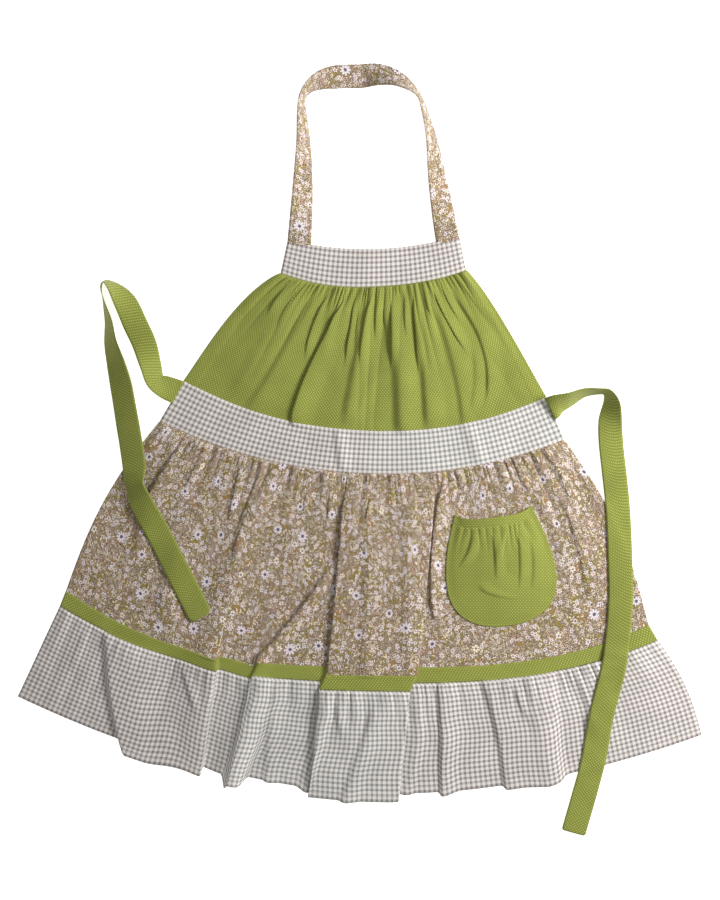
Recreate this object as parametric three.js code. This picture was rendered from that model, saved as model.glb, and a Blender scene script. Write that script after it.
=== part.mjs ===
// Patchwork apron of printed cotton, laid out flat on a surface. A checked band, a gathered spotted bib, a
// checked waist band, a gathered floral skirt with a spotted pocket, a spotted band and a checked gathered
// ruffle are sewn one below the other, with a neck strap and two ties. Units are millimetres. +Z is up from
// the surface, +Y points to the neck strap, and +X is the side with the pocket. The origin is the middle of
// the waist band, on its underside.
import * as THREE from "three";

// Cloth and gaps.
const COTTON = 1.5;
const DOUBLED_COTTON = 2;
const SEAM_GAP = 0.4;
const LAY_GAP = 0.7;

// Widths of the cloth from side to side, as it lies, at each seam.
const BIB_TOP_WIDTH = 231;
const BIB_WIDTH = 250;
const WAIST_TOP_WIDTH = 489;
const WAIST_BASE_WIDTH = 546;
const SKIRT_WIDTH = 786;
const RUFFLE_WIDTH = 807;
const HEM_WIDTH = 923;

// Depths of the panels, measured down the middle.
const BIB_BAND_DEPTH = 51;
const BIB_DEPTH = 194;
const WAIST_BAND_DEPTH = 58;
const SKIRT_DEPTH = 261;
const HEM_BAND_DEPTH = 21;
const RUFFLE_DEPTH = 149;

// Strap, ties and pocket.
const STRAP_WIDTH = 32;
const STRAP_RISE = 222;
const TIE_WIDTH = 33;
const TIE_LENGTH = 665;
const TIE_BELOW_CORNER = 1;
const POCKET_WIDTH = 149;
const POCKET_DEPTH = 158;
const POCKET_MOUTH = 104;
const POCKET_GAPE = 12;
const POCKET_ACROSS_SHARE = 0.778;
const POCKET_DOWN_SHARE = 0.52;
const POCKET_TURN = 7;

// Gathers and folds: the lift of the fullest gather and of the highest fold, the span of a broad fold, and
// how far the longest fold drops the edge that it crosses.
const GATHER_LIFT = 4.2;
const FOLD_LIFT = 6.5;
const FOLD_SPAN = 100;
const FOLD_DROP = 18;

// Seams from the neck down. Height is that of the seam's middle above the origin. The other columns are
// shares of the width: shift to the right, tilt of the right end downwards, rise of both ends, and the
// extra drop of the left half. Bow says how late the seam turns up towards its ends.
const waistTop = WAIST_BAND_DEPTH / 2;
const bibTop = waistTop + BIB_DEPTH;
const skirtBase = -waistTop - SKIRT_DEPTH;
const ruffleTop = skirtBase - HEM_BAND_DEPTH;
const hem = ruffleTop - RUFFLE_DEPTH;
const neck = bibTop + BIB_BAND_DEPTH;
const SEAMS = [
  { width: BIB_TOP_WIDTH, height: neck, shift: 0.044, tilt: -0.023, rise: 0.065, bow: 2, skew: 0 },
  { width: BIB_WIDTH, height: bibTop, shift: 0.04, tilt: -0.016, rise: 0.081, bow: 2.3, skew: 0.004 },
  { width: WAIST_TOP_WIDTH, height: waistTop, shift: -0.003, tilt: 0.044, rise: 0.116, bow: 2.2, skew: 0 },
  { width: WAIST_BASE_WIDTH, height: -waistTop, shift: -0.01, tilt: 0.045, rise: 0.106, bow: 2.1, skew: 0 },
  { width: SKIRT_WIDTH, height: skirtBase, shift: -0.015, tilt: 0.058, rise: 0.102, bow: 3, skew: 0.007 },
  { width: RUFFLE_WIDTH, height: ruffleTop, shift: -0.012, tilt: 0.057, rise: 0.099, bow: 2.6, skew: 0.005 },
  { width: HEM_WIDTH, height: hem, shift: -0.009, tilt: 0.056, rise: 0.113, bow: 1.85, skew: 0 },
];
const HEM_INDEX = SEAMS.length - 1;
const WAIST_BASE_INDEX = 3;
const RUFFLE_TOP_INDEX = 5;

// How far each panel's sides swell past the straight line between its corners, as a share of the seam above
// it. Early says how far up the swelling sits.
const SIDE_SWELL = [
  { left: 0, right: 0, early: 1 },
  { left: 0.07, right: 0.027, early: 0.6 },
  { left: 0, right: 0, early: 1 },
  { left: 0.029, right: 0.033, early: 0.9 },
  { left: 0, right: 0, early: 1 },
  { left: 0, right: 0.011, early: 0.9 },
];

// Gathers: small puffs that hang from a seam. Lift is a share of GATHER_LIFT, and reach the share of the
// panel below the seam over which they fade out.
const GATHERS = [
  { seam: 1, count: 20, lift: 1, reach: 0.75 },
  { seam: WAIST_BASE_INDEX, count: 24, lift: 0.95, reach: 0.4 },
  { seam: RUFFLE_TOP_INDEX, count: 24, lift: 0.86, reach: 0.75 },
];

// Folds: long ridges. From and to are seams, counted from the neck down. Start, mid and end are the crest's
// places across the cloth, from 0 at the left side to 1 at the right. Lift is a share of FOLD_LIFT, and
// left, flat and right, the widths of the left slope, the flat top and the right slope, are shares of
// FOLD_SPAN. Drop is a share of FOLD_DROP, by which the fold lowers the edge that it crosses.
const FOLDS = [
  { from: 1.05, to: 2, start: 0.13, mid: 0.12, end: 0.12, lift: 0.7, left: 0.07, right: 0.18 },
  { from: 1.05, to: 2, start: 0.26, mid: 0.24, end: 0.225, lift: 0.62, left: 0.07, right: 0.18 },
  { from: 1.05, to: 2, start: 0.38, mid: 0.345, end: 0.315, lift: 1, left: 0.07, right: 0.26 },
  { from: 1.05, to: 1.75, start: 0.455, mid: 0.455, end: 0.44, lift: 0.54, left: 0.06, right: 0.12 },
  { from: 1.05, to: 2, start: 0.615, mid: 0.59, end: 0.555, lift: 0.77, left: 0.06, right: 0.24 },
  { from: 1.05, to: 2, start: 0.7, mid: 0.69, end: 0.675, lift: 0.7, left: 0.06, right: 0.2 },
  { from: 1.05, to: 2, start: 0.815, mid: 0.805, end: 0.815, lift: 0.77, left: 0.18, right: 0.07 },
  { from: 1.05, to: 2, start: 0.895, mid: 0.9, end: 0.905, lift: 0.7, left: 0.16, right: 0.07 },
  { from: 1.95, to: 3.02, start: 0.425, mid: 0.44, end: 0.455, lift: 0.37, left: 0.1, right: 0.16 },
  { from: 1.95, to: 3.02, start: 0.775, mid: 0.79, end: 0.795, lift: 0.31, left: 0.14, right: 0.14 },
  {
    from: 3, to: 6, start: 0.475, mid: 0.452, end: 0.434,
    lift: 0.85, left: 0.09, flat: 0.92, right: 0.24, drop: 0.56,
  },
  { from: 3.35, to: 6, start: 0.44, mid: 0.345, end: 0.302, lift: 0.62, left: 0.12, flat: 0.04, right: 0.26 },
  {
    from: 4.9, to: 6, start: 0.355, mid: 0.325, end: 0.302,
    lift: 0.46, left: 0.12, flat: 0.16, right: 0.18, drop: 0.94,
  },
  { from: 3, to: 6, start: 0.605, mid: 0.578, end: 0.54, lift: 0.54, left: 0.18, right: 0.14, drop: 0.22 },
  { from: 3, to: 6, start: 0.745, mid: 0.626, end: 0.622, lift: 0.85, left: 0.09, right: 0.26, drop: 0.33 },
  { from: 3, to: 4.6, start: 0.285, mid: 0.238, end: 0.265, lift: 0.62, left: 0.24, right: 0.16 },
  { from: 3, to: 3.8, start: 0.085, mid: 0.07, end: 0.09, lift: 0.62, left: 0.1, right: 0.2 },
  { from: 3, to: 3.95, start: 0.925, mid: 0.93, end: 0.925, lift: 0.62, left: 0.16, right: 0.09 },
  {
    from: 4.9, to: 6, start: 0.08, mid: 0.115, end: 0.16,
    lift: 0.92, left: 0.1, flat: 0.1, right: 0.75, drop: 1,
  },
  { from: 4.6, to: 6, start: 0.255, mid: 0.262, end: 0.266, lift: 1, left: 0.15, right: 0.13, drop: 0.78 },
  { from: 5.2, to: 6, start: 0.455, mid: 0.44, end: 0.421, lift: 0.77, left: 0.11, right: 0.13, drop: 0.56 },
  {
    from: 4.9, to: 6, start: 0.712, mid: 0.718, end: 0.716,
    lift: 0.85, left: 0.09, flat: 0.5, right: 0.36, drop: 0.39,
  },
  { from: 4.9, to: 6, start: 0.82, mid: 0.8, end: 0.79, lift: 0.77, left: 0.6, right: 0.1, drop: 0.28 },
];
const FOLD_FADE_SHARE = 0.2;

// Neck strap, from the left leg over the top to the right leg. Across is a share of the way between the two
// legs, rise one of STRAP_RISE, and roll how far the strap has turned up on its edge, in degrees.
const STRAP_STATIONS = [
  { across: 0, rise: 0, roll: 0 },
  { across: 0.01, rise: 0.13, roll: 18 },
  { across: 0.024, rise: 0.36, roll: 36 },
  { across: 0.028, rise: 0.61, roll: 57 },
  { across: 0.018, rise: 0.79, roll: 69 },
  { across: 0.02, rise: 0.875, roll: 74 },
  { across: 0.06, rise: 0.945, roll: 62 },
  { across: 0.15, rise: 0.985, roll: 38 },
  { across: 0.27, rise: 1, roll: 22 },
  { across: 0.4, rise: 1.003, roll: 12 },
  { across: 0.52, rise: 1.008, roll: 22 },
  { across: 0.635, rise: 0.985, roll: 38 },
  { across: 0.735, rise: 0.93, roll: 60 },
  { across: 0.805, rise: 0.865, roll: 77 },
  { across: 0.848, rise: 0.75, roll: 71 },
  { across: 0.885, rise: 0.62, roll: 62 },
  { across: 0.925, rise: 0.38, roll: 39 },
  { across: 0.975, rise: 0.12, roll: 13 },
  { across: 1, rise: 0, roll: 0 },
];

// Ties, from the waist band outwards. Out and up are shares of TIE_LENGTH, away from the apron and towards
// the neck.
const LEFT_TIE_STATIONS = [
  { out: 0, up: 0, roll: 0 },
  { out: 0.026, up: 0.0105, roll: 22 },
  { out: 0.045, up: 0.022, roll: 48 },
  { out: 0.055, up: 0.053, roll: 36 },
  { out: 0.069, up: 0.099, roll: 14 },
  { out: 0.088, up: 0.14, roll: 6 },
  { out: 0.106, up: 0.18, roll: 26 },
  { out: 0.128, up: 0.207, roll: 70 },
  { out: 0.143, up: 0.215, roll: 84 },
  { out: 0.151, up: 0.206, roll: 86 },
  { out: 0.147, up: 0.183, roll: 82 },
  { out: 0.139, up: 0.142, roll: 67 },
  { out: 0.135, up: 0.1, roll: 54 },
  { out: 0.125, up: 0.058, roll: 37 },
  { out: 0.116, up: 0.018, roll: 24 },
  { out: 0.102, up: -0.064, roll: 15 },
  { out: 0.089, up: -0.147, roll: 14 },
  { out: 0.087, up: -0.188, roll: 40 },
  { out: 0.073, up: -0.224, roll: 16 },
  { out: 0.036, up: -0.294, roll: 4 },
  { out: -0.002, up: -0.368, roll: 4 },
  { out: -0.047, up: -0.457, roll: 0 },
];
const RIGHT_TIE_STATIONS = [
  { out: 0, up: 0, roll: 0 },
  { out: 0.013, up: 0.009, roll: 38 },
  { out: 0.038, up: 0.019, roll: 56 },
  { out: 0.068, up: 0.033, roll: 70 },
  { out: 0.096, up: 0.036, roll: 78 },
  { out: 0.114, up: 0.034, roll: 80 },
  { out: 0.123, up: 0.015, roll: 56 },
  { out: 0.122, up: -0.028, roll: 20 },
  { out: 0.124, up: -0.069, roll: 6 },
  { out: 0.137, up: -0.191, roll: 4 },
  { out: 0.142, up: -0.3, roll: 8 },
  { out: 0.143, up: -0.392, roll: 12 },
  { out: 0.13, up: -0.514, roll: 10 },
  { out: 0.104, up: -0.622, roll: 4 },
  { out: 0.086, up: -0.722, roll: 0 },
  { out: 0.048, up: -0.86, roll: 0 },
];

const clamp01 = (t) => Math.min(1, Math.max(0, t));
const smooth = (t) => clamp01(t) ** 2 * (3 - 2 * clamp01(t));
const mix = (a, b, t) => a + (b - a) * t;

// Widths of the gathers differ a little from each other. Both side edges stay where they are.
const UNEVENNESS = 0.016;
function unevenly(share) {
  const slow = Math.sin(2 * Math.PI * 3 * share) / 3;
  const quick = (Math.sin(2 * Math.PI * 7 * share + 1) - Math.sin(1)) / 7;
  return share + UNEVENNESS * (slow + quick);
}

function seamPoint(seam, across) {
  const along = (across - 0.5) * seam.width;
  const ends = Math.abs(2 * across - 1) ** seam.bow;
  const lean = seam.tilt * along + seam.skew * seam.width * Math.sin(2 * Math.PI * across);
  const height = seam.height + seam.rise * seam.width * ends - lean;
  return new THREE.Vector2(seam.shift * seam.width + along, height);
}

// Place of the cloth seen from above. Level counts the seams from 0 at the neck to 6 at the hem.
function planPoint(across, level) {
  const i = Math.min(Math.floor(level), HEM_INDEX - 1);
  const down = level - i;
  const point = seamPoint(SEAMS[i], across).lerp(seamPoint(SEAMS[i + 1], across), down);
  const side = 2 * across - 1;
  const { left, right, early } = SIDE_SWELL[i];
  const swell = (side < 0 ? -left : right) * SEAMS[i].width;
  point.x += swell * Math.abs(side) ** 3 * Math.sin(Math.PI * down ** early);
  return point;
}

function widthAt(level) {
  const i = Math.min(Math.floor(level), HEM_INDEX - 1);
  return mix(SEAMS[i].width, SEAMS[i + 1].width, level - i);
}

// The pocket's own frame: u to the right along its mouth and v up, from its middle.
const pocketMiddle = planPoint(POCKET_ACROSS_SHARE, WAIST_BASE_INDEX + POCKET_DOWN_SHARE);
const pocketTurn = THREE.MathUtils.degToRad(POCKET_TURN);

// The skirt lies flat under the pocket and close round it.
const POCKET_CLEAR_SIDE = 12;
const POCKET_CLEAR_END = 34;
const POCKET_CLEAR_FADE = 16;
function aroundPocket(point) {
  const local = point.clone().sub(pocketMiddle).rotateAround(new THREE.Vector2(), -pocketTurn);
  const beside = smooth((Math.abs(local.x) - POCKET_WIDTH / 2 - POCKET_CLEAR_SIDE) / POCKET_CLEAR_FADE);
  const beyond = smooth((Math.abs(local.y) - POCKET_DEPTH / 2 - POCKET_CLEAR_END) / POCKET_CLEAR_FADE);
  return 1 - (1 - beside) * (1 - beyond);
}

// Height of the folds, and how far they reach down.
function foldAt(across, level) {
  const sum = { lift: 0, drop: 0 };
  for (const fold of FOLDS) {
    const t = (level - fold.from) / (fold.to - fold.from);
    if (t < 0 || t > 1) continue;
    const { left, flat = 0, right, drop = 0 } = fold;
    const crest = (1 - t) * (1 - 2 * t) * fold.start + 4 * t * (1 - t) * fold.mid + t * (2 * t - 1) * fold.end;
    const away = ((across - crest) * widthAt(level)) / FOLD_SPAN;
    const slope = away < 0 ? -away / left : (away - flat) / right;
    if (slope >= 1) continue;
    const profile = (1 + Math.cos(Math.PI * Math.max(0, slope))) / 2;
    const ends = smooth(t / FOLD_FADE_SHARE) * (fold.to < HEM_INDEX ? smooth((1 - t) / FOLD_FADE_SHARE) : 1);
    sum.lift += FOLD_LIFT * fold.lift * profile * ends;
    sum.drop += FOLD_DROP * drop * profile * smooth(level - fold.from);
  }
  return sum;
}

// Each gather is a round puff between two sharp valleys. It starts flat at its seam and is full a little
// below it.
const GATHER_ROUNDNESS = 0.7;
const GATHER_START_SHARE = 0.09;
const WEAKEST_GATHER = 0.5;
function gatherLift(share, level) {
  let total = 0;
  for (const row of GATHERS) {
    const down = level - row.seam;
    if (down < 0 || down > row.reach) continue;
    const puff = Math.abs(Math.sin(Math.PI * row.count * share)) ** GATHER_ROUNDNESS;
    const strength = mix(WEAKEST_GATHER, 1, (1 + Math.sin(2 * Math.PI * 5 * share)) / 2);
    const lift = GATHER_LIFT * row.lift * strength * puff;
    total += lift * smooth(down / GATHER_START_SHARE) * (1 - smooth(down / row.reach));
  }
  return total;
}

// Underside of the cloth.
function clothPoint(share, level) {
  const across = unevenly(share);
  const plan = planPoint(across, level);
  const free = aroundPocket(plan);
  const { lift, drop } = foldAt(across, level);
  return new THREE.Vector3(plan.x, plan.y - drop, (lift + gatherLift(share, level)) * free);
}

// A closed wall between two grids of points, one row of points below the other and seen from above.
function shell(lower, upper) {
  const rows = lower.length;
  const columns = lower[0].length;
  const positions = [...lower.flat(), ...upper.flat()].flatMap((p) => p.toArray());
  const low = (r, c) => r * columns + c;
  const high = (r, c) => rows * columns + r * columns + c;
  const index = [];
  const quad = (a, b, c, d) => index.push(a, b, c, a, c, d);
  for (let r = 0; r < rows - 1; r++) {
    for (let c = 0; c < columns - 1; c++) {
      quad(high(r, c), high(r + 1, c), high(r + 1, c + 1), high(r, c + 1));
      quad(low(r, c), low(r, c + 1), low(r + 1, c + 1), low(r + 1, c));
    }
    quad(low(r, 0), low(r + 1, 0), high(r + 1, 0), high(r, 0));
    quad(low(r + 1, columns - 1), low(r, columns - 1), high(r, columns - 1), high(r + 1, columns - 1));
  }
  for (let c = 0; c < columns - 1; c++) {
    quad(low(0, c + 1), low(0, c), high(0, c), high(0, c + 1));
    quad(low(rows - 1, c), low(rows - 1, c + 1), high(rows - 1, c + 1), high(rows - 1, c));
  }
  const geometry = new THREE.BufferGeometry();
  geometry.setAttribute("position", new THREE.Float32BufferAttribute(positions, 3));
  geometry.setIndex(index);
  geometry.computeVertexNormals();
  return geometry;
}

const raised = (grid, by) => grid.map((row) => row.map((p) => new THREE.Vector3(p.x, p.y, p.z + by)));

// One sewn panel between a seam and the next. Rows are shares of the way down.
function panel(seam, columns, rows, thickness) {
  const gap = seam === 0 ? 0 : SEAM_GAP;
  const grid = rows.map((down) =>
    Array.from({ length: columns + 1 }, (_, c) => {
      const point = clothPoint(c / columns, seam + down);
      point.y -= gap * (1 - down);
      return point;
    }),
  );
  return shell(grid, raised(grid, thickness));
}

// Height of the highest cloth under a point, or of the surface where there is none.
const garment = new THREE.Group();
const ray = new THREE.Raycaster();
const DOWNWARDS = new THREE.Vector3(0, 0, -1);
const ABOVE_THE_CLOTH = 200;
function restHeight(x, y) {
  ray.set(new THREE.Vector3(x, y, ABOVE_THE_CLOTH), DOWNWARDS);
  const hit = ray.intersectObjects(garment.children, false)[0];
  return hit ? hit.point.z + LAY_GAP : 0;
}

// Where a ribbon feels for what lies below it, from its right edge to its left.
const PROBES = [-1, -0.6, -0.2, 0.2, 0.6, 1];

// A flat band of cloth along stations { place, roll }. Its lower edge rests on what lies below it. A first
// or last station with a heading is cut square to that heading, to meet the edge that it is sewn to.
function ribbon(stations, width, thickness, steps, restsOn) {
  const curve = new THREE.CatmullRomCurve3(
    stations.map((s) => new THREE.Vector3(s.place.x, s.place.y, 0)),
    false,
    "centripetal",
  );
  const rolls = new THREE.SplineCurve(stations.map((s, i) => new THREE.Vector2(i, s.roll)));
  const sections = Array.from({ length: steps + 1 }, (_, i) => {
    const t = i / steps;
    const place = curve.getPoint(t);
    const sewn = { 0: stations[0].heading, [steps]: stations[stations.length - 1].heading };
    const heading = sewn[i] ?? curve.getTangent(t);
    const left = new THREE.Vector3(-heading.y, heading.x, 0).normalize();
    const roll = THREE.MathUtils.degToRad(Math.max(0, rolls.getPoint(t).y));
    const across = left.clone().multiplyScalar(Math.cos(roll)).add(new THREE.Vector3(0, 0, Math.sin(roll)));
    const reach = left.clone().multiplyScalar((Math.cos(roll) * width) / 2);
    const under = PROBES.map((k) => restsOn(place.x + reach.x * k, place.y + reach.y * k));
    return { place, across, heading, roll, rest: Math.max(...under) };
  });
  const lower = [];
  const upper = [];
  sections.forEach((s, i) => {
    const rest = Math.max(...sections.slice(Math.max(0, i - 1), i + 2).map((n) => n.rest));
    const middle = s.place.clone().setZ(rest + (Math.sin(s.roll) * width) / 2);
    const up = new THREE.Vector3().crossVectors(s.heading, s.across).normalize();
    const corner = (side, face) =>
      middle.clone().addScaledVector(s.across, (side * width) / 2).addScaledVector(up, face * thickness);
    lower.push([-1, 0, 1].map((side) => corner(side, 0)));
    upper.push([-1, 0, 1].map((side) => corner(side, 1)));
  });
  return shell(lower, upper);
}

// The pocket's sewn rim: from the right end of the mouth down to the widest place, round the foot and up
// again. The share runs from 0 to 1, and the first and last quarters are the two sides.
const POCKET_WIDEST = 0.1;
const POCKET_SQUARENESS = 0.86;
function pocketRim(share) {
  const half = POCKET_WIDTH / 2;
  const widest = POCKET_WIDEST * POCKET_DEPTH;
  const top = POCKET_DEPTH / 2;
  const side = share < 0.5 ? 1 : -1;
  const quarters = 4 * Math.min(share, 1 - share);
  if (quarters < 1) {
    const bow = Math.sin((Math.PI / 2) * quarters);
    return new THREE.Vector2(side * mix(POCKET_MOUTH / 2, half, bow), mix(top, -widest, quarters));
  }
  const angle = (Math.PI / 2) * (quarters - 1);
  return new THREE.Vector2(
    side * half * Math.cos(angle) ** POCKET_SQUARENESS,
    -widest - (top - widest) * Math.sin(angle) ** POCKET_SQUARENESS,
  );
}

// A square grid drawn onto the pocket: its top side becomes the mouth and the other three the sewn rim.
function pocketPoint(p, q) {
  const ring = Math.max(Math.abs(p), Math.abs(q));
  if (ring === 0) return new THREE.Vector2();
  const a = p / ring;
  const b = q / ring;
  if (b === 1) return new THREE.Vector2((a * POCKET_MOUTH) / 2, POCKET_DEPTH / 2).multiplyScalar(ring);
  const share = a === 1 ? (1 - b) / 6 : b === -1 ? 0.5 - a / 6 : 1 - (1 - b) / 6;
  return pocketRim(share).multiplyScalar(ring);
}

// The pocket bulges between its sewn rim and stands open at the mouth.
const POCKET_CELLS = 14;
function pocketShell() {
  const seat = COTTON + SEAM_GAP;
  const steps = Array.from({ length: POCKET_CELLS + 1 }, (_, i) => -1 + (2 * i) / POCKET_CELLS);
  const grid = steps.map((row) =>
    steps.map((p) => {
      const q = -row;
      const plan = pocketPoint(p, q).rotateAround(new THREE.Vector2(), pocketTurn).add(pocketMiddle);
      const puff = Math.sqrt(1 - p ** 4) * (1 - ((1 - q) / 2) ** 5);
      return new THREE.Vector3(plan.x, plan.y, seat + POCKET_GAPE * puff);
    }),
  );
  return shell(grid, raised(grid, COTTON));
}

const fabric = (color) => new THREE.MeshStandardMaterial({ color, roughness: 0.9, metalness: 0 });
const CHECK = 0xcfc7c2;
const GREEN_SPOT = 0x8fa743;
const FLORAL = 0xa8916a;

const apron = new THREE.Group();
function add(name, geometry, color) {
  const mesh = new THREE.Mesh(geometry, fabric(color));
  mesh.name = name;
  apron.add(mesh);
  return mesh;
}

const evenRows = (count) => Array.from({ length: count + 1 }, (_, i) => i / count);
const GATHER_ROWS = [0, 0.03, 0.09, 0.22, 0.4, 0.6, 0.8, 1];
const RUFFLE_ROWS = [0, 0.05, 0.16, 0.36, 0.66, 1];
const BODY = [
  { name: "bib_band", seam: 0, columns: 20, rows: evenRows(1), thickness: DOUBLED_COTTON, color: CHECK },
  { name: "bib_panel", seam: 1, columns: 72, rows: GATHER_ROWS, thickness: COTTON, color: GREEN_SPOT },
  { name: "waist_band", seam: 2, columns: 48, rows: evenRows(2), thickness: DOUBLED_COTTON, color: CHECK },
  { name: "skirt_panel", seam: 3, columns: 88, rows: GATHER_ROWS, thickness: COTTON, color: FLORAL },
  { name: "hem_band", seam: 4, columns: 88, rows: evenRows(1), thickness: COTTON, color: GREEN_SPOT },
  { name: "hem_ruffle", seam: 5, columns: 88, rows: RUFFLE_ROWS, thickness: COTTON, color: CHECK },
];
for (const piece of BODY) {
  const mesh = add(piece.name, panel(piece.seam, piece.columns, piece.rows, piece.thickness), piece.color);
  garment.add(mesh.clone());
}
garment.updateMatrixWorld(true);
add("pocket", pocketShell(), GREEN_SPOT);

// Where the strap leaves the top of the bib band, with its outer edges flush with the band's ends.
const strapInset = STRAP_WIDTH / 2 / BIB_TOP_WIDTH;
const upFromBand = (across) => {
  const outer = seamPoint(SEAMS[0], across < 0.5 ? 0 : 1);
  const inner = seamPoint(SEAMS[0], across < 0.5 ? 2 * strapInset : 1 - 2 * strapInset);
  const along = across < 0.5 ? inner.sub(outer) : outer.sub(inner);
  return new THREE.Vector3(-along.y, along.x, 0).normalize();
};
const strapFeet = [strapInset, 1 - strapInset].map((across) => {
  const up = upFromBand(across);
  const place = seamPoint(SEAMS[0], across).add(new THREE.Vector2(up.x, up.y).multiplyScalar(SEAM_GAP));
  return { place, up };
});
const strapStations = STRAP_STATIONS.map(({ across, rise, roll }) => {
  const place = strapFeet[0].place.clone().lerp(strapFeet[1].place, across);
  place.y += rise * STRAP_RISE;
  return { place, roll };
});
strapStations[0].heading = strapFeet[0].up;
strapStations[strapStations.length - 1].heading = strapFeet[1].up.clone().negate();
add("neck_strap", ribbon(strapStations, STRAP_WIDTH, DOUBLED_COTTON, 60, () => 0), FLORAL);

// A tie leaves the side of the waist band, just below its top corner.
function tieStations(side, stations) {
  const corner = planPoint(side < 0 ? 0 : 1, 2);
  const foot = planPoint(side < 0 ? 0 : 1, 3);
  const edge = foot.sub(corner).normalize();
  const outwards = new THREE.Vector2(edge.y, -edge.x).multiplyScalar(-side);
  const root = corner
    .addScaledVector(edge, TIE_BELOW_CORNER + TIE_WIDTH / 2)
    .addScaledVector(outwards, SEAM_GAP);
  const placed = stations.map(({ out, up, roll }) => ({
    place: new THREE.Vector2(root.x + side * out * TIE_LENGTH, root.y + up * TIE_LENGTH),
    roll,
  }));
  placed[0].heading = new THREE.Vector3(outwards.x, outwards.y, 0);
  return placed;
}
const tie = (side, stations, steps) =>
  ribbon(tieStations(side, stations), TIE_WIDTH, DOUBLED_COTTON, steps, restHeight);
add("tie_left", tie(-1, LEFT_TIE_STATIONS, 66), GREEN_SPOT);
add("tie_right", tie(1, RIGHT_TIE_STATIONS, 60), GREEN_SPOT);

export default apron;
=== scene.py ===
"""Patchwork apron of printed cotton, laid flat on a pale floor and seen from straight above.

The sewn panels follow one surface: seams that curve across the apron, long folds that run down it, and gathers that
hang from three of the seams. The strap, the ties and the pocket lie on that surface. Sizes are metres, +Z is up,
+Y points to the neck strap, and the origin is the middle of the waist band.
"""

from functools import cache, partial

import bmesh
import bpy
import numpy as np
from bpy.props import FloatProperty, FloatVectorProperty, PointerProperty
from mathutils import Matrix, Vector
from mathutils.bvhtree import BVHTree


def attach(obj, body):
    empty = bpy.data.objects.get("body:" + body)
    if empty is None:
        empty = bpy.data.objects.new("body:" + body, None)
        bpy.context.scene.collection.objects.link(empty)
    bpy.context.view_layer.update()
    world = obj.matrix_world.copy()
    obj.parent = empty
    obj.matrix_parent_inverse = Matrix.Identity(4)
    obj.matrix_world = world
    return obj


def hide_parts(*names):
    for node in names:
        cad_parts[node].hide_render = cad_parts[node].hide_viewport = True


bl_info = {
    "name": "Patchwork Apron",
    "version": (1, 0, 0),
    "blender": (4, 5, 0),
    "location": "View3D > Sidebar > Apron",
    "description": "Builds a gathered patchwork apron as it lies on a table",
    "category": "Add Mesh",
}

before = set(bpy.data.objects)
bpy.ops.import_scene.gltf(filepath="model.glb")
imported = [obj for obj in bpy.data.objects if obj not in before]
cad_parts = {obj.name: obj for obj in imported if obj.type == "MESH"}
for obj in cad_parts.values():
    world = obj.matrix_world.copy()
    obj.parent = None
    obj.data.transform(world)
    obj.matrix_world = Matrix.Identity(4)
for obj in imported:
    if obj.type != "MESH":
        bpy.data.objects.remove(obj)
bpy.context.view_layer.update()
MM = 0.001
TINY = 1e-6


def table(columns, rows):
    """Rows as dicts of the columns. A short row leaves out the last columns."""
    return [dict(zip(columns.split(), row)) for row in rows]



# Seams from the neck down. The columns are shares of the seam's width: shift to the right, tilt of the right end
# downwards, rise of both ends, and the extra drop of the left half. Bow says how late the ends turn up.
SEAMS = table("width shift tilt rise bow skew", [
    ("bib_top_width", 0.044, -0.023, 0.065, 2.0, 0.0),
    ("bib_width", 0.04, -0.016, 0.081, 2.3, 0.004),
    ("waist_top_width", -0.003, 0.044, 0.116, 2.2, 0.0),
    ("waist_base_width", -0.01, 0.045, 0.106, 2.1, 0.0),
    ("skirt_width", -0.015, 0.058, 0.102, 3.0, 0.007),
    ("ruffle_width", -0.012, 0.057, 0.099, 2.6, 0.005),
    ("hem_width", -0.009, 0.056, 0.113, 1.85, 0.0),
])
HEM = len(SEAMS) - 1

# How far each panel's sides swell outwards, as a share of the seam above, and how early down the panel.
SIDE_SWELL = table("left right early", [
    (0.0, 0.0, 1.0), (0.07, 0.027, 0.6), (0.0, 0.0, 1.0), (0.029, 0.033, 0.9), (0.0, 0.0, 1.0), (0.0, 0.011, 0.9),
])

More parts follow.
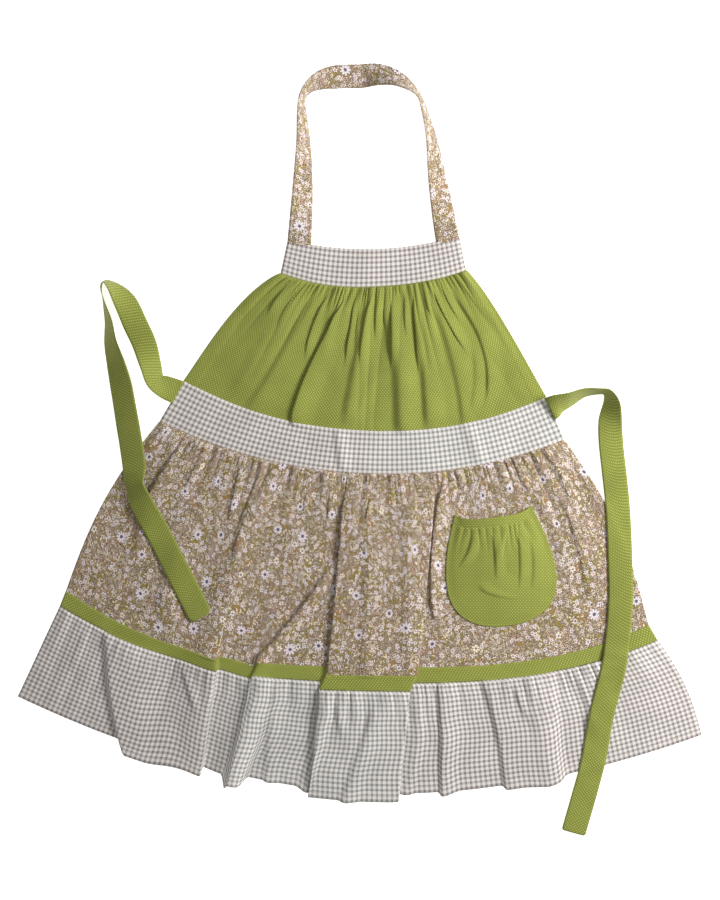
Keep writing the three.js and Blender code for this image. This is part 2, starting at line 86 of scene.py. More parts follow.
# Long folds. Start and to count the seams from the neck. At is the crest's place across the cloth at its start, its
# middle and its end. Lift is a share of the highest fold; left, flat and right are shares of a broad fold's span: the
# left slope, the flat top and the right slope. Lap pushes the crest over its steep side, and far the other edge of a
# flat top. Drop lowers the edges that the fold crosses below the seam in drops, or below its start.
FOLD_COLUMNS = "start to at lift left right lap drop drops flat far"
FOLDS = table(FOLD_COLUMNS, [
    (1.05, 2.0, (0.165, 0.145, 0.13), 0.3, 0.16, 0.3, 0.2), (1.02, 2.06, (0.245, 0.215, 0.18), 0.5, 0.13, 0.34, 0.4),
    (1.0, 2.12, (0.4, 0.317, 0.312), 0.84, 0.07, 0.26, 1.0),
    (1.05, 2.04, (0.497, 0.466, 0.452), 0.62, 0.15, 0.22, 0.5),
    (1.1, 2.12, (0.628, 0.618, 0.61), 0.95, 0.19, 0.26, 0.5),
    (1.1, 2.06, (0.738, 0.706, 0.682), 0.75, 0.14, 0.24, 0.5),
    (1.05, 1.95, (0.878, 0.912, 0.84), 0.5, 0.07, 0.2, 0.6), (1.1, 2.1, (0.8, 0.8, 0.77), 0.45, 0.1, 0.24, 0.3),
    (1.95, 3.02, (0.425, 0.44, 0.455), 0.37, 0.1, 0.16, 0.4),
    (1.95, 3.02, (0.775, 0.79, 0.795), 0.31, 0.14, 0.14, 0.0),
    (3, 6, (0.476, 0.452, 0.434), 1.0, 0.09, 0.1, 1.2, 0.6, 3, 1.05, -1.0),
    (3.42, 4.12, (0.466, 0.386, 0.302), 0.85, 0.12, 0.14, 0.8), (3.85, 6, (0.338, 0.328, 0.31), 0.75, 0.12, 0.2, 0.7),
    (3.8, 6, (0.324, 0.322, 0.303), 0.2, 0.45, 0.05, 0.0, 0.24, 3.2),
    (3.7, 6, (0.256, 0.257, 0.262), 0.25, 0.5, 0.05, 0.3, 0.22, 3.2),
    (3, 4.1, (0.617, 0.594, 0.586), 0.34, 0.14, 0.18, 0.4), (3, 3.84, (0.712, 0.66, 0.648), 0.84, 0.09, 0.22, 1.1),
    (3, 3.6, (0.29, 0.262, 0.25), 0.7, 0.09, 0.26, 0.9), (3.3, 4.2, (0.258, 0.246, 0.25), 0.45, 0.3, 0.3, 0.0),
    (3, 3.7, (0.085, 0.07, 0.09), 0.5, 0.1, 0.2, 0.5), (3.1, 3.8, (0.935, 0.94, 0.935), 0.36, 0.12, 0.14, 0.5),
    (3.4, 4.0, (0.16, 0.15, 0.165), 0.5, 0.16, 0.3, 0.2), (3.2, 4.2, (0.53, 0.522, 0.515), 0.4, 0.14, 0.24, 0.2),
    (4.9, 6, (0.08, 0.115, 0.16), 0.92, 0.14, 0.62, 0.5, 1.0, 4.9, 0.24),
    (3.9, 6, (0.254, 0.258, 0.264), 1.1, 0.7, 0.07, 0.3, 0.62, 5),
    (4.9, 6, (0.338, 0.322, 0.306), 0.95, 0.3, 0.2, 0.3, 0, 4.9, 0.04),
    (4.9, 6, (0.345, 0.323, 0.302), 0.2, 0.06, 0.18, 0.4, 0.94, 4.9, 0.16),
    (5.0, 6, (0.455, 0.44, 0.421), 0.4, 0.16, 0.13, 0.5, 0.4),
    (5.0, 6, (0.596, 0.59, 0.568), 0.3, 0.14, 0.14, 0.4, 0.12),
    (4.9, 6, (0.64, 0.634, 0.624), 0.66, 0.1, 0.24, 0.6, 0.33),
    (4.9, 6, (0.712, 0.722, 0.72), 0.66, 0.13, 0.36, 0.6, 0.39, 4.9, 0.5),
    (4.9, 6, (0.82, 0.8, 0.79), 0.66, 0.5, 0.14, 0.3, 0.28),
])

# Short pressed creases between the folds.
CREASES = table(FOLD_COLUMNS, [
    (1.0, 1.36, (0.555, 0.562, 0.57), 0.34, 0.03, 0.1, 0.9), (1.0, 1.6, (0.588, 0.603, 0.576), 0.46, 0.035, 0.1, 1.0),
    (1.0, 1.58, (0.431, 0.424, 0.418), 0.46, 0.035, 0.1, 1.0),
    (1.0, 1.45, (0.455, 0.45, 0.446), 0.3, 0.03, 0.08, 0.8),
    (1.0, 1.66, (0.716, 0.695, 0.672), 0.44, 0.035, 0.12, 1.0),
    (1.0, 1.6, (0.505, 0.482, 0.474), 0.36, 0.03, 0.1, 0.8), (1.0, 1.4, (0.53, 0.528, 0.524), 0.3, 0.03, 0.08, 0.8),
    (1.0, 1.58, (0.8, 0.827, 0.852), 0.46, 0.035, 0.1, 1.0), (1.0, 1.36, (0.845, 0.856, 0.87), 0.34, 0.03, 0.1, 0.9),
    (1.0, 1.4, (0.944, 0.951, 0.957), 0.38, 0.035, 0.09, 0.8),
    (1.0, 1.42, (0.15, 0.147, 0.15), 0.4, 0.035, 0.12, 0.8), (1.0, 1.34, (0.09, 0.093, 0.1), 0.34, 0.03, 0.1, 0.8),
    (1.0, 1.6, (0.292, 0.274, 0.286), 0.44, 0.035, 0.12, 0.9),
    (1.0, 1.35, (0.346, 0.338, 0.334), 0.34, 0.03, 0.1, 0.8), (1.0, 1.4, (0.665, 0.66, 0.652), 0.34, 0.03, 0.1, 0.8),
    (1.0, 1.3, (0.76, 0.764, 0.77), 0.34, 0.03, 0.1, 0.8), (1.45, 2.0, (0.885, 0.85, 0.79), 0.26, 0.08, 0.16, 0.5),
    (1.5, 2.0, (0.52, 0.5, 0.47), 0.22, 0.1, 0.16, 0.3), (3.0, 3.3, (0.535, 0.527, 0.515), 0.34, 0.03, 0.1, 1.0),
    (3.0, 3.3, (0.427, 0.429, 0.43), 0.34, 0.03, 0.1, 1.0), (3.0, 3.26, (0.378, 0.374, 0.372), 0.3, 0.03, 0.1, 0.8),
    (3.0, 3.5, (0.066, 0.068, 0.06), 0.4, 0.04, 0.14, 0.8), (3.0, 3.3, (0.121, 0.12, 0.12), 0.34, 0.03, 0.1, 0.8),
    (3.0, 3.4, (0.205, 0.218, 0.222), 0.38, 0.03, 0.1, 0.8), (3.0, 3.5, (0.262, 0.25, 0.236), 0.34, 0.03, 0.1, 0.8),
    (3.0, 3.4, (0.876, 0.879, 0.878), 0.34, 0.05, 0.08, 0.8),
    (3.0, 3.35, (0.962, 0.953, 0.951), 0.34, 0.05, 0.08, 0.8), (3.2, 3.85, (0.94, 0.928, 0.916), 0.3, 0.06, 0.1, 0.7),
    (5.0, 5.5, (0.2, 0.225, 0.245), 0.3, 0.05, 0.14, 0.6),
    (5.0, 6.0, (0.37, 0.364, 0.366), 0.3, 0.1, 0.18, 0.4, 0.12),
    (5.05, 6.0, (0.535, 0.508, 0.482), 0.5, 0.12, 0.2, 0.6, 0.16),
    (5.0, 5.7, (0.86, 0.862, 0.85), 0.3, 0.08, 0.14, 0.5), (5.0, 5.6, (0.05, 0.052, 0.056), 0.3, 0.08, 0.14, 0.5),
    (5.0, 5.5, (0.47, 0.474, 0.48), 0.3, 0.06, 0.12, 0.5), (5.0, 5.45, (0.76, 0.764, 0.77), 0.3, 0.06, 0.12, 0.5),
])

# Gathers hang from a seam in tiers: many small puffs close to it, which merge into fewer and longer ones. Lift is a
# share of the fullest gather and reach a share of the panel's depth.
GATHER_TIERS = table("seam count lift reach", [
    (1, 42, 0.62, 0.24), (1, 22, 0.74, 0.66), (1, 11, 0.66, 1.6), (3, 76, 0.6, 0.14), (3, 36, 0.7, 0.34),
    (3, 15, 0.5, 0.75), (5, 84, 0.4, 0.3), (5, 40, 0.62, 0.6), (5, 18, 0.6, 1.4),
])

# Neck strap, from the left leg over the top to the right leg. Across is a share of the way between the legs, rise
# one of the strap's rise, and roll how far the strap has turned up on its edge, in degrees.
STRAP_STATIONS = table("across rise roll", [
    (0.0, 0.0, 0), (0.01, 0.13, 18), (0.024, 0.36, 36), (0.028, 0.61, 57), (0.018, 0.79, 69), (0.02, 0.875, 79),
    (0.068, 0.94, 70), (0.165, 0.984, 42), (0.27, 1.0, 20), (0.4, 1.003, 6), (0.52, 1.008, -16), (0.635, 0.985, -38),
    (0.735, 0.93, -60), (0.805, 0.865, -77), (0.848, 0.75, -71), (0.885, 0.62, -62), (0.925, 0.38, -39),
    (0.975, 0.12, -13), (1.0, 0.0, 0),
])

# Ties, from the waist band outwards. Out and up are shares of the tie's length.
LEFT_TIE_STATIONS = table("out up roll", [
    (0.0, 0.0, 0), (0.026, 0.0105, 22), (0.045, 0.022, 48), (0.055, 0.053, 36), (0.069, 0.099, 14), (0.088, 0.14, 6),
    (0.107, 0.182, 26), (0.131, 0.213, 66), (0.148, 0.2235, 84), (0.1535, 0.214, 87), (0.149, 0.186, 83),
    (0.139, 0.142, 67), (0.135, 0.1, 54), (0.125, 0.058, 37), (0.116, 0.018, 24), (0.102, -0.064, 15),
    (0.089, -0.147, 14), (0.087, -0.188, 40), (0.073, -0.224, 16), (0.036, -0.294, 4), (-0.002, -0.368, 4),
    (-0.047, -0.457, 0),
])
RIGHT_TIE_STATIONS = table("out up roll", [
    (0.0, 0.0, 0), (0.013, 0.009, 38), (0.038, 0.019, 56), (0.068, 0.033, 70), (0.096, 0.036, 78), (0.114, 0.034, 80),
    (0.123, 0.015, 56), (0.122, -0.028, 20), (0.124, -0.069, 6), (0.137, -0.191, 4), (0.142, -0.3, 8),
    (0.143, -0.392, 12), (0.13, -0.514, 10), (0.104, -0.622, 4), (0.086, -0.722, 0), (0.048, -0.86, 0),
])


def linear(code):
    """Linear RGBA of an sRGB hex colour."""
    channels = [int(code[i : i + 2], 16) / 255 for i in (1, 3, 5)]
    return [c / 12.92 if c <= 0.04045 else ((c + 0.055) / 1.055) ** 2.4 for c in channels] + [1.0]


def length(description, millimetres):
    return FloatProperty(description=description, default=millimetres * MM, unit="LENGTH", precision=4)


def share(description, default):
    return FloatProperty(description=description, default=default, subtype="FACTOR", min=0, max=2)


def dye(description, code):
    return FloatVectorProperty(description=description, default=linear(code), size=4, subtype="COLOR")


class ApronSizes(bpy.types.PropertyGroup):
    """Sizes of the apron as it lies."""

    bib_top_width: length("Across the top of the bib band", 231)
    bib_width: length("Across the gathered top of the bib", 250)
    waist_top_width: length("Across the top of the waist band", 489)
    waist_base_width: length("Across the foot of the waist band", 546)
    skirt_width: length("Across the foot of the skirt", 786)
    ruffle_width: length("Across the gathered top of the ruffle", 807)
    hem_width: length("Across the hem", 923)
    bib_band_depth: length("Depth of the checked band on the bib", 51)
    bib_depth: length("Depth of the bib down its middle", 194)
    waist_band_depth: length("Depth of the waist band", 58)
    skirt_depth: length("Depth of the skirt down its middle", 261)
    hem_band_depth: length("Depth of the narrow band above the ruffle", 21)
    ruffle_depth: length("Depth of the ruffle", 149)
    strap_width: length("Width of the neck strap", 32)
    strap_rise: length("Height of the strap's loop above the bib band", 225)
    tie_width: length("Width of the ties", 33)
    tie_length: length("Length that the ties' stations are shares of", 665)
    tie_below_corner: length("From the waist band's top corner down to the tie", 1)
    pocket_width: length("Widest part of the pocket", 149)
    pocket_depth: length("From the pocket's mouth to its foot", 158)
    pocket_mouth: length("Between the sewn ends of the mouth", 104)
    pocket_gape: length("How far the mouth stands open", 12)
    pocket_across: share("Place of the pocket across the skirt", 0.778)
    pocket_down: share("Place of the pocket down the skirt", 0.52)
    gather_lift: length("Lift of the fullest gather", 4.2)
    fold_lift: length("Lift of the highest fold", 6.5)
    fold_span: length("Width of a broad fold", 100)
    fold_drop: length("How far the longest fold drops the hem", 18)


class ClothSizes(bpy.types.PropertyGroup):
    """Sizes of the cloth, its weave, its hems and its stitches."""

    cotton: length("Thickness of the cotton as drawn", 0.6)
    band_rise: length("How far the doubled bands stand above the gathered cloth", 1.1)
    tuck: length("How far a gathered panel runs on below a band", 4)
    hem_depth: length("Depth of the turned hem of the ruffle", 10)
    side_hem: length("Depth of the turned side hems", 8)
    hem_rise: length("Extra thickness of a turned hem", 0.5)
    stitch_length: length("Length of one stitch that shows", 2.3)
    stitch_pitch: length("From one stitch to the next", 3.1)
    stitch_width: length("Width of the thread as drawn", 0.55)
    thread_pitch: length("Pitch of the woven threads as drawn", 0.9)
    check_repeat: length("Repeat of the woven check", 6.7)
    dot_pitch: length("Across from one printed dot to the next", 4.2)
    dot_size: length("Diameter of a printed dot", 1.6)


class ClothColours(bpy.types.PropertyGroup):
    """Colours of the cottons."""

    green: dye("Ground of the spotted cotton", "#808632")
    green_dot: dye("Dots of the spotted cotton", "#b1b86c")
    check_white: dye("Undyed threads of the check", "#e2dcd7")
    check_taupe: dye("Dyed threads of the check", "#897f7c")
    # Painted shade tint: the cooler grey-green that the dyed squares take in one stretch of the cut, standing in for
    # the cast of shade.
    check_shade_tint: dye("Cooler stretch of the dyed threads", "#888a86")
    ground: dye("Ground of the floral cotton", "#9c7850")
    blush: dye("Second ground of the floral cotton", "#b48f78")
    khaki: dye("Third ground of the floral cotton", "#8f7f42")
    leaf: dye("Leaves of the floral cotton", "#9a8f48")
    lilac: dye("Large petals of the floral cotton", "#e4d9dc")
    rose: dye("Small petals of the floral cotton", "#e2cdc2")
    cream: dye("Tiny blossoms of the floral cotton", "#ecdfc4")
    slate: dye("Hearts of the large flowers", "#5f5a6a")
    umber: dye("Outlines of the floral cotton", "#4c3526")
    check_thread: dye("Thread of the checked pieces", "#ddd6cf")
    green_thread: dye("Thread of the spotted pieces", "#98a24b")
    floral_thread: dye("Thread of the floral pieces", "#a58f6b")


class StageSizes(bpy.types.PropertyGroup):
    """Camera, floor and lights."""

    camera_height: FloatProperty(description="Above the floor", default=3.0, unit="LENGTH")
    view_height: FloatProperty(description="Floor seen from top to bottom", default=1.215, unit="LENGTH")
    view_x: length("Middle of the view to the right of the origin", -8.1)
    view_y: length("Middle of the view above the origin", 2.7)
    key_power: FloatProperty(description="Power of the large soft light", default=34, unit="POWER")
    key_size: length("Across the large soft light", 700)
    key_place: FloatVectorProperty(description="Place of the large soft light", default=(1.3, 0.34, 0.98))
    fill: FloatProperty(description="Strength of the light from all round", default=0.36, min=0)
    floor_glow: FloatProperty(description="Light that the floor gives", default=0.85, min=0)
    floor: dye("Colour of the floor", "#fbfbfb")


def smooth(t):
    t = np.clip(t, 0, 1)
    return t * t * (3 - 2 * t)


def wander(place, seed, count=512):
    """Smooth random wandering between 0 and 1 along a line, one knot to each unit."""
    knots = np.random.default_rng(seed).random(count)
    left = np.floor(place).astype(int)
    turn = smooth(place - left)
    return knots[left % count] * (1 - turn) + knots[(left + 1) % count] * turn


def crumple(x, y, cell, seed, count=128):
    """Smooth random wandering between 0 and 1 over a plane, one knot to each cell."""
    knots = np.random.default_rng(seed).random((count, count))
    column = np.floor(x / cell).astype(int)
    row = np.floor(y / cell).astype(int)
    tx = smooth(x / cell - column)
    ty = smooth(y / cell - row)
    near, far = (knots[r % count, column % count] * (1 - tx) + knots[r % count, (column + 1) % count] * tx
                 for r in (row, row + 1))
    return near * (1 - ty) + far * ty


def rotated(x, y, angle):
    """The place turned about the origin, to the left."""
    return x * np.cos(angle) - y * np.sin(angle), x * np.sin(angle) + y * np.cos(angle)


def rounded(slope):
    """From 1 at 0 down to 0 at 1, level at both ends."""
    return (1 + np.cos(np.pi * np.clip(slope, 0, 1))) / 2


def unit(vectors):
    return vectors / np.linalg.norm(vectors, axis=-1, keepdims=True)


def gone_along(points):
    """How far along the line each of its points is."""
    return np.concatenate([[0], np.linalg.norm(np.diff(points, axis=0), axis=1).cumsum()])


def between(wanted, gone, points):
    """Points of the line where so much of it is gone."""
    return np.stack([np.interp(wanted, gone, column) for column in np.transpose(points)], axis=-1)


class Lie:
    """How the sewn cloth lies. Level counts the seams from 0 at the neck to 6 at the hem."""

    UNEVENNESS = 0.016
    FADE = 0.2
    GATHERED_SIDE = 0.015
    POCKET_TURN = np.radians(7)
    BESIDE_POCKET = 3 * MM
    BEYOND_POCKET = 14 * MM
    # Crumples of the cloth: height, size and seed. The last is the only one below the pocket.
    CRUMPLES = ((1.1 * MM, 46 * MM, 5), (0.5 * MM, 17 * MM, 6), (0.16 * MM, 6 * MM, 7))

    def __init__(self, scene):
        sizes = scene.apron_sizes
        self.sizes = sizes
        self.cloth = scene.cloth_sizes
        waist = sizes.waist_band_depth / 2
        self.depths = np.array([
            sizes.bib_band_depth, sizes.bib_depth, sizes.waist_band_depth,
            sizes.skirt_depth, sizes.hem_band_depth, sizes.ruffle_depth,
        ])
        top = waist + sizes.bib_depth + sizes.bib_band_depth
        self.heights = top - np.concatenate([[0], np.cumsum(self.depths)])
        self.widths = np.array([getattr(sizes, seam["width"]) for seam in SEAMS])
        self.bends = {key: np.array([seam[key] for seam in SEAMS]) for key in SEAMS[0] if key != "width"}
        self.swells = {key: np.array([row[key] for row in SIDE_SWELL]) for key in SIDE_SWELL[0]}
        pocket_level = np.array(3 + sizes.pocket_down)
        self.pocket_middle = np.array(self.plan(np.array(sizes.pocket_across), pocket_level))

    def seam(self, index, across):
        width = self.widths[index]
        along = (across - 0.5) * width
        ends = np.abs(2 * across - 1) ** self.bends["bow"][index]
        sag = self.bends["skew"][index] * width * np.sin(2 * np.pi * across)
        height = self.heights[index] + self.bends["rise"][index] * width * ends
        return self.bends["shift"][index] * width + along, height - self.bends["tilt"][index] * along - sag

    def plan(self, across, level):
        """Place of the cloth seen from above."""
        panel = np.clip(np.floor(level).astype(int), 0, HEM - 1)
        down = level - panel
        x0, y0 = self.seam(panel, across)
        x1, y1 = self.seam(panel + 1, across)
        side = 2 * across - 1
        swell = np.where(side < 0, -self.swells["left"][panel], self.swells["right"][panel]) * self.widths[panel]
        bulge = np.sin(np.pi * np.clip(down, 0, 1) ** self.swells["early"][panel])
        return x0 + (x1 - x0) * down + swell * np.abs(side) ** 3 * bulge, y0 + (y1 - y0) * down

    def uneven(self, portion):
        """Widths of the gathers differ a little. Both side edges stay where they are."""
        slow = np.sin(2 * np.pi * 3 * portion) / 3
        quick = (np.sin(2 * np.pi * 7 * portion + 1) - np.sin(1)) / 7
        return portion + self.UNEVENNESS * (slow + quick)

    def folds(self, across, level, rows):
        """Lift, drop and sideways lap of the folds."""
        sizes = self.sizes
        lift = np.zeros_like(level)
        drop = np.zeros_like(level)
        lap = np.zeros_like(level)
        width = np.interp(level, range(len(self.widths)), self.widths)
        for fold in rows:
            span = fold["to"] - fold["start"]
            t = (level - fold["start"]) / span
            first, middle, last = fold["at"]
            crest = (1 - t) * (1 - 2 * t) * first + 4 * t * (1 - t) * middle + t * (2 * t - 1) * last
            away = (across - crest) * width / sizes.fold_span
            slope = np.where(away < 0, -away / fold["left"], (away - fold.get("flat", 0)) / fold["right"])
            profile = rounded(slope)
            fading = self.FADE * min(1, 2 * span)
            fades_out = smooth((fold["to"] - level) / fading) if fold["to"] < HEM else 1
            fades_in = smooth((level - fold["start"]) / self.FADE)
            raised = fold["lift"] * sizes.fold_lift * profile * fades_in * fades_out
            raised = np.where((t >= 0) & (t <= 1), raised, 0)
            steep_left = -1 if fold["left"] < fold["right"] else 1
            lift += raised
            lean = fold["lap"]
            if "far" in fold:
                lean = lean + (fold["far"] - fold["lap"]) * np.clip(away / fold["flat"], 0, 1)
            lap += steep_left * lean * raised
            lowered = smooth(level - fold.get("drops", fold["start"]))
            drop += sizes.fold_drop * fold.get("drop", 0) * profile * lowered * (t >= 0)
        return lift, drop, lap

    def gathers(self, portion, level):
        """Height of the puffs below the gathered seams."""
        total = np.zeros_like(level)
        sides = smooth(portion / self.GATHERED_SIDE) * smooth((1 - portion) / self.GATHERED_SIDE)
        for seed, tier in enumerate(GATHER_TIERS):
            below = level - tier["seam"]
            count = tier["count"]
            depth = self.depths[tier["seam"]]
            drift = 2.2 * below * (wander(portion * 9, seed + 40) - 0.5)
            phase = count * portion + 1.3 * wander(portion * count * 0.6, seed) + drift
            strength = 0.15 + 1.1 * wander(portion * count * 0.7, seed + 10)
            reach = tier["reach"] * (0.45 + 0.85 * wander(portion * count * 0.5, seed + 20))
            puff = np.abs(np.sin(np.pi * phase)) ** (0.6 + 0.8 * smooth(below / reach))
            start = smooth((below * depth + 0.5 * MM) / (3.5 * MM))
            rise = self.sizes.gather_lift * tier["lift"] * strength * puff * start * (1 - smooth(below / reach))
            total += np.where((below >= 0) & (below < 1), rise, 0)
        return total * sides

    def beside_pocket(self, x, y):
        """0 where the pocket lies and 1 away from it."""
        sizes = self.sizes
        local_x, local_y = rotated(x - self.pocket_middle[0], y - self.pocket_middle[1], -self.POCKET_TURN)
        down = np.clip((sizes.pocket_depth / 2 - local_y) / (0.6 * sizes.pocket_depth), 0, 1)
        narrowing = 1 - np.sin(np.pi / 2 * down)
        half = (sizes.pocket_width - (sizes.pocket_width - sizes.pocket_mouth) * narrowing) / 2
        beside = smooth((np.abs(local_x) - half - self.BESIDE_POCKET) / self.BEYOND_POCKET)
        beyond = smooth((np.abs(local_y) - sizes.pocket_depth / 2) / self.BEYOND_POCKET - 1)
        return 1 - (1 - beside) * (1 - beyond)

    def place(self, portion, level, gathered=True, rise=0.0):
        """Points of the cloth, as an array of x, y and z."""
        across = self.uneven(portion)
        x, y = self.plan(across, level)
        free = self.beside_pocket(x, y)
        lift, drop, lap = self.folds(across, level, FOLDS)
        crease, crease_drop, crease_lap = self.folds(across, level, CREASES)
        height = lift + crease
        if gathered:
            height = height + self.gathers(portion, level)
        broad, middling, fine = (most * crumple(x, y, cell, seed) for most, cell, seed in self.CRUMPLES)
        height = (height + broad + middling) * free + fine
        return np.stack([x + (lap + crease_lap) * free, y - drop - crease_drop, height + rise], axis=-1)


# The surface of each piece by its name, for the stitches.
SURFACES = {}


def linked(name, data):
    """An object of the data, in the scene."""
    made = bpy.data.objects.new(name, data)
    bpy.context.scene.collection.objects.link(made)
    return made


def mesh_object(name, maker, material):
    """An object of a bmesh in one material."""
    mesh = bpy.data.meshes.new(name)
    maker.to_mesh(mesh)
    maker.free()
    mesh.polygons.foreach_set("use_smooth", np.ones(len(mesh.polygons), bool))
    mesh.materials.append(material)
    return linked(name, mesh)


def cloth_piece(name, replaced, columns, rows, surface, cut, slot, thickness, grain=None):
    """A sheet of cloth in place of a solid. Surface turns the shares across and down into points. The UV map is the
    flat cut in metres, laid out along the rows' and columns' real lengths, or as grain gives it."""
    maker = bmesh.new()
    bmesh.ops.create_grid(maker, x_segments=columns, y_segments=rows, size=1)
    corners = np.array([vertex.co[:2] for vertex in maker.verts])
    column = np.rint((corners[:, 0] + 1) / 2 * columns).astype(int)
    row = np.rint((1 - corners[:, 1]) / 2 * rows).astype(int)
    points = surface(column / columns, row / rows)
    for vertex, point in zip(maker.verts, points):
        vertex.co = point
    piece = mesh_object(name, maker, fabric(slot))

    lattice = np.zeros((rows + 1, columns + 1, 3))
    lattice[row, column] = points
    along = np.linalg.norm(np.diff(lattice, axis=1), axis=2).cumsum(axis=1)
    down = np.linalg.norm(np.diff(lattice, axis=0), axis=2).mean(axis=1).cumsum()
    u = np.hstack([np.zeros((rows + 1, 1)), along / along[:, -1:]]) * cut[0]
    v = -np.concatenate([[0], down / down[-1]]) * cut[1]
    flat = np.stack([u[row, column], v[row]], axis=-1) if grain is None else grain(column / columns, row / rows)
    vertex_of_corner = np.zeros(len(piece.data.loops), int)
    piece.data.loops.foreach_get("vertex_index", vertex_of_corner)
    uv_map = piece.data.uv_layers.new(name="FlatCut")
    uv_map.data.foreach_set("uv", flat[vertex_of_corner].astype(np.float32).ravel())

    SURFACES[name] = surface
    wall = piece.modifiers.new("Cotton", "SOLIDIFY")
    wall.thickness = thickness
    wall.offset = 1.0
    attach(piece, "root")
    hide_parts(replaced)
    return piece


def node(tree, kind, *values, **named):
    """Adds a node. The values go to its first inputs, a capitalised name is an input too, and any other name is a
    setting. An input takes a value, a socket or a node, whose first enabled output then feeds it."""
    made = tree.nodes.new("ShaderNode" + kind)
    for key, value in named.items():
        if key.islower():
            setattr(made, key, value)
    inputs = {key.replace("_", " "): value for key, value in named.items() if not key.islower()}
    for key, value in {**dict(enumerate(values)), **inputs}.items():
        if isinstance(value, bpy.types.Node):
            value = next(socket for socket in value.outputs if socket.enabled)
        if isinstance(value, bpy.types.NodeSocket):
            tree.links.new(value, made.inputs[key])
        else:
            made.inputs[key].default_value = value
    return made


def new_material(name):
    """An empty material and the function that adds a node to it."""
    material = bpy.data.materials.new(name)
    material.use_nodes = True
    material.node_tree.nodes.clear()
    return material, partial(node, material.node_tree)


def new_cotton(name):
    """A new material, its function and the flat cut in millimetres."""
    material, add = new_material(name)
    flat_cut = add("UVMap", uv_map="FlatCut")
    return material, add, add("VectorMath", flat_cut, Scale=1 / MM, operation="SCALE")


def woven_finish(add, flat_mm, colour, cloth):
    """Plain weave: fine threads over and under, matt, with a faint bloom and slightly uneven dyeing."""
    uneven = add("TexNoise", Vector=flat_mm, Scale=0.022, Detail=3.0)
    shade = add("MapRange", uneven, 0.3, 0.7, 0.93, 1.06)
    dyed = add("VectorMath", colour, Scale=shade, operation="SCALE")
    turns = 2 * np.pi / (cloth.thread_pitch / MM)
    angles = add("VectorMath", flat_mm, Scale=turns, operation="SCALE")
    threads = add("VectorMath", angles, operation="SINE")
    ways = add("SeparateXYZ", threads)
    weave = add("Math", ways.outputs[0], ways.outputs[1], operation="MULTIPLY")
    bump = add("Bump", Height=weave, Distance=0.06 * MM, Strength=0.5)
    cotton = add("BsdfPrincipled", Base_Color=dyed, Normal=bump, Roughness=0.88, Specular_IOR_Level=0.25,
                 Sheen_Weight=0.12, Sheen_Roughness=0.5)
    add("OutputMaterial", Surface=cotton)


def checked_cotton(colours, cloth):
    """Gingham, woven from dyed and undyed threads: a square is dark where both ways are dyed, and half as dark where
    only one is."""
    material, add, flat_mm = new_cotton("checked cotton")
    repeats = add("VectorMath", flat_mm, Scale=MM / cloth.check_repeat, operation="SCALE")
    places = add("VectorMath", repeats, operation="FRACTION")
    ways = add("SeparateXYZ", places)
    dyed_part = 0.46
    dyed = [add("Math", ways.outputs[i], dyed_part, operation="LESS_THAN") for i in (0, 1)]
    both = add("Math", *dyed, operation="ADD")
    share_dyed = add("Math", both, 0.5, operation="MULTIPLY")
    # Painted shade tint: the dyed squares turn cooler grey-green within 110 mm of 450 mm along the cut, fading out by
    # 210 mm.
    coolest, cool_reach, cool_core = 450.0, 210.0, 110.0
    away = add("Math", add("SeparateXYZ", flat_mm), coolest, operation="SUBTRACT")
    apart = add("Math", away, operation="ABSOLUTE")
    shade_tint_share = add("MapRange", apart, cool_reach, cool_core)
    dye_and_shade_tint = add("Mix", shade_tint_share, A=colours.check_taupe, B=colours.check_shade_tint, data_type="RGBA")
    check = add("Mix", share_dyed, A=colours.check_white, B=dye_and_shade_tint, data_type="RGBA")
    woven_finish(add, flat_mm, check, cloth)
    return material


def spotted_cotton(colours, cloth):
    """Green cotton, plain woven and printed with pale dots in staggered rows."""
    material, add, flat_mm = new_cotton("spotted cotton")
    pitch = cloth.dot_pitch / MM
    cell = (pitch, 1.1 * pitch, 1.0)
    cells = add("VectorMath", flat_mm, cell, operation="DIVIDE")
    softness = 0.15
    distances = []
    for shift in (0.0, 0.5):
        moved = add("VectorMath", cells, (shift, shift, 0), operation="ADD")
        turned = add("VectorMath", moved, operation="FRACTION")
        centred = add("VectorMath", turned, (0.5, 0.5, 0), operation="SUBTRACT")
        real = add("VectorMath", centred, (*cell[:2], 0), operation="MULTIPLY")
        distances.append(add("VectorMath", real, operation="LENGTH"))
    nearest = add("Math", *distances, operation="MINIMUM")
    radius = cloth.dot_size / MM / 2
    dot = add("MapRange", nearest, radius + softness, radius - softness)
    ink = add("TexNoise", Vector=flat_mm, Scale=0.35)
    printed = add("Math", ink, 0.5, operation="ADD")
    amount = add("Math", dot, printed, operation="MULTIPLY")
    colour = add("Mix", amount, A=colours.green, B=colours.green_dot, data_type="RGBA")
    woven_finish(add, flat_mm, colour, cloth)
    return material


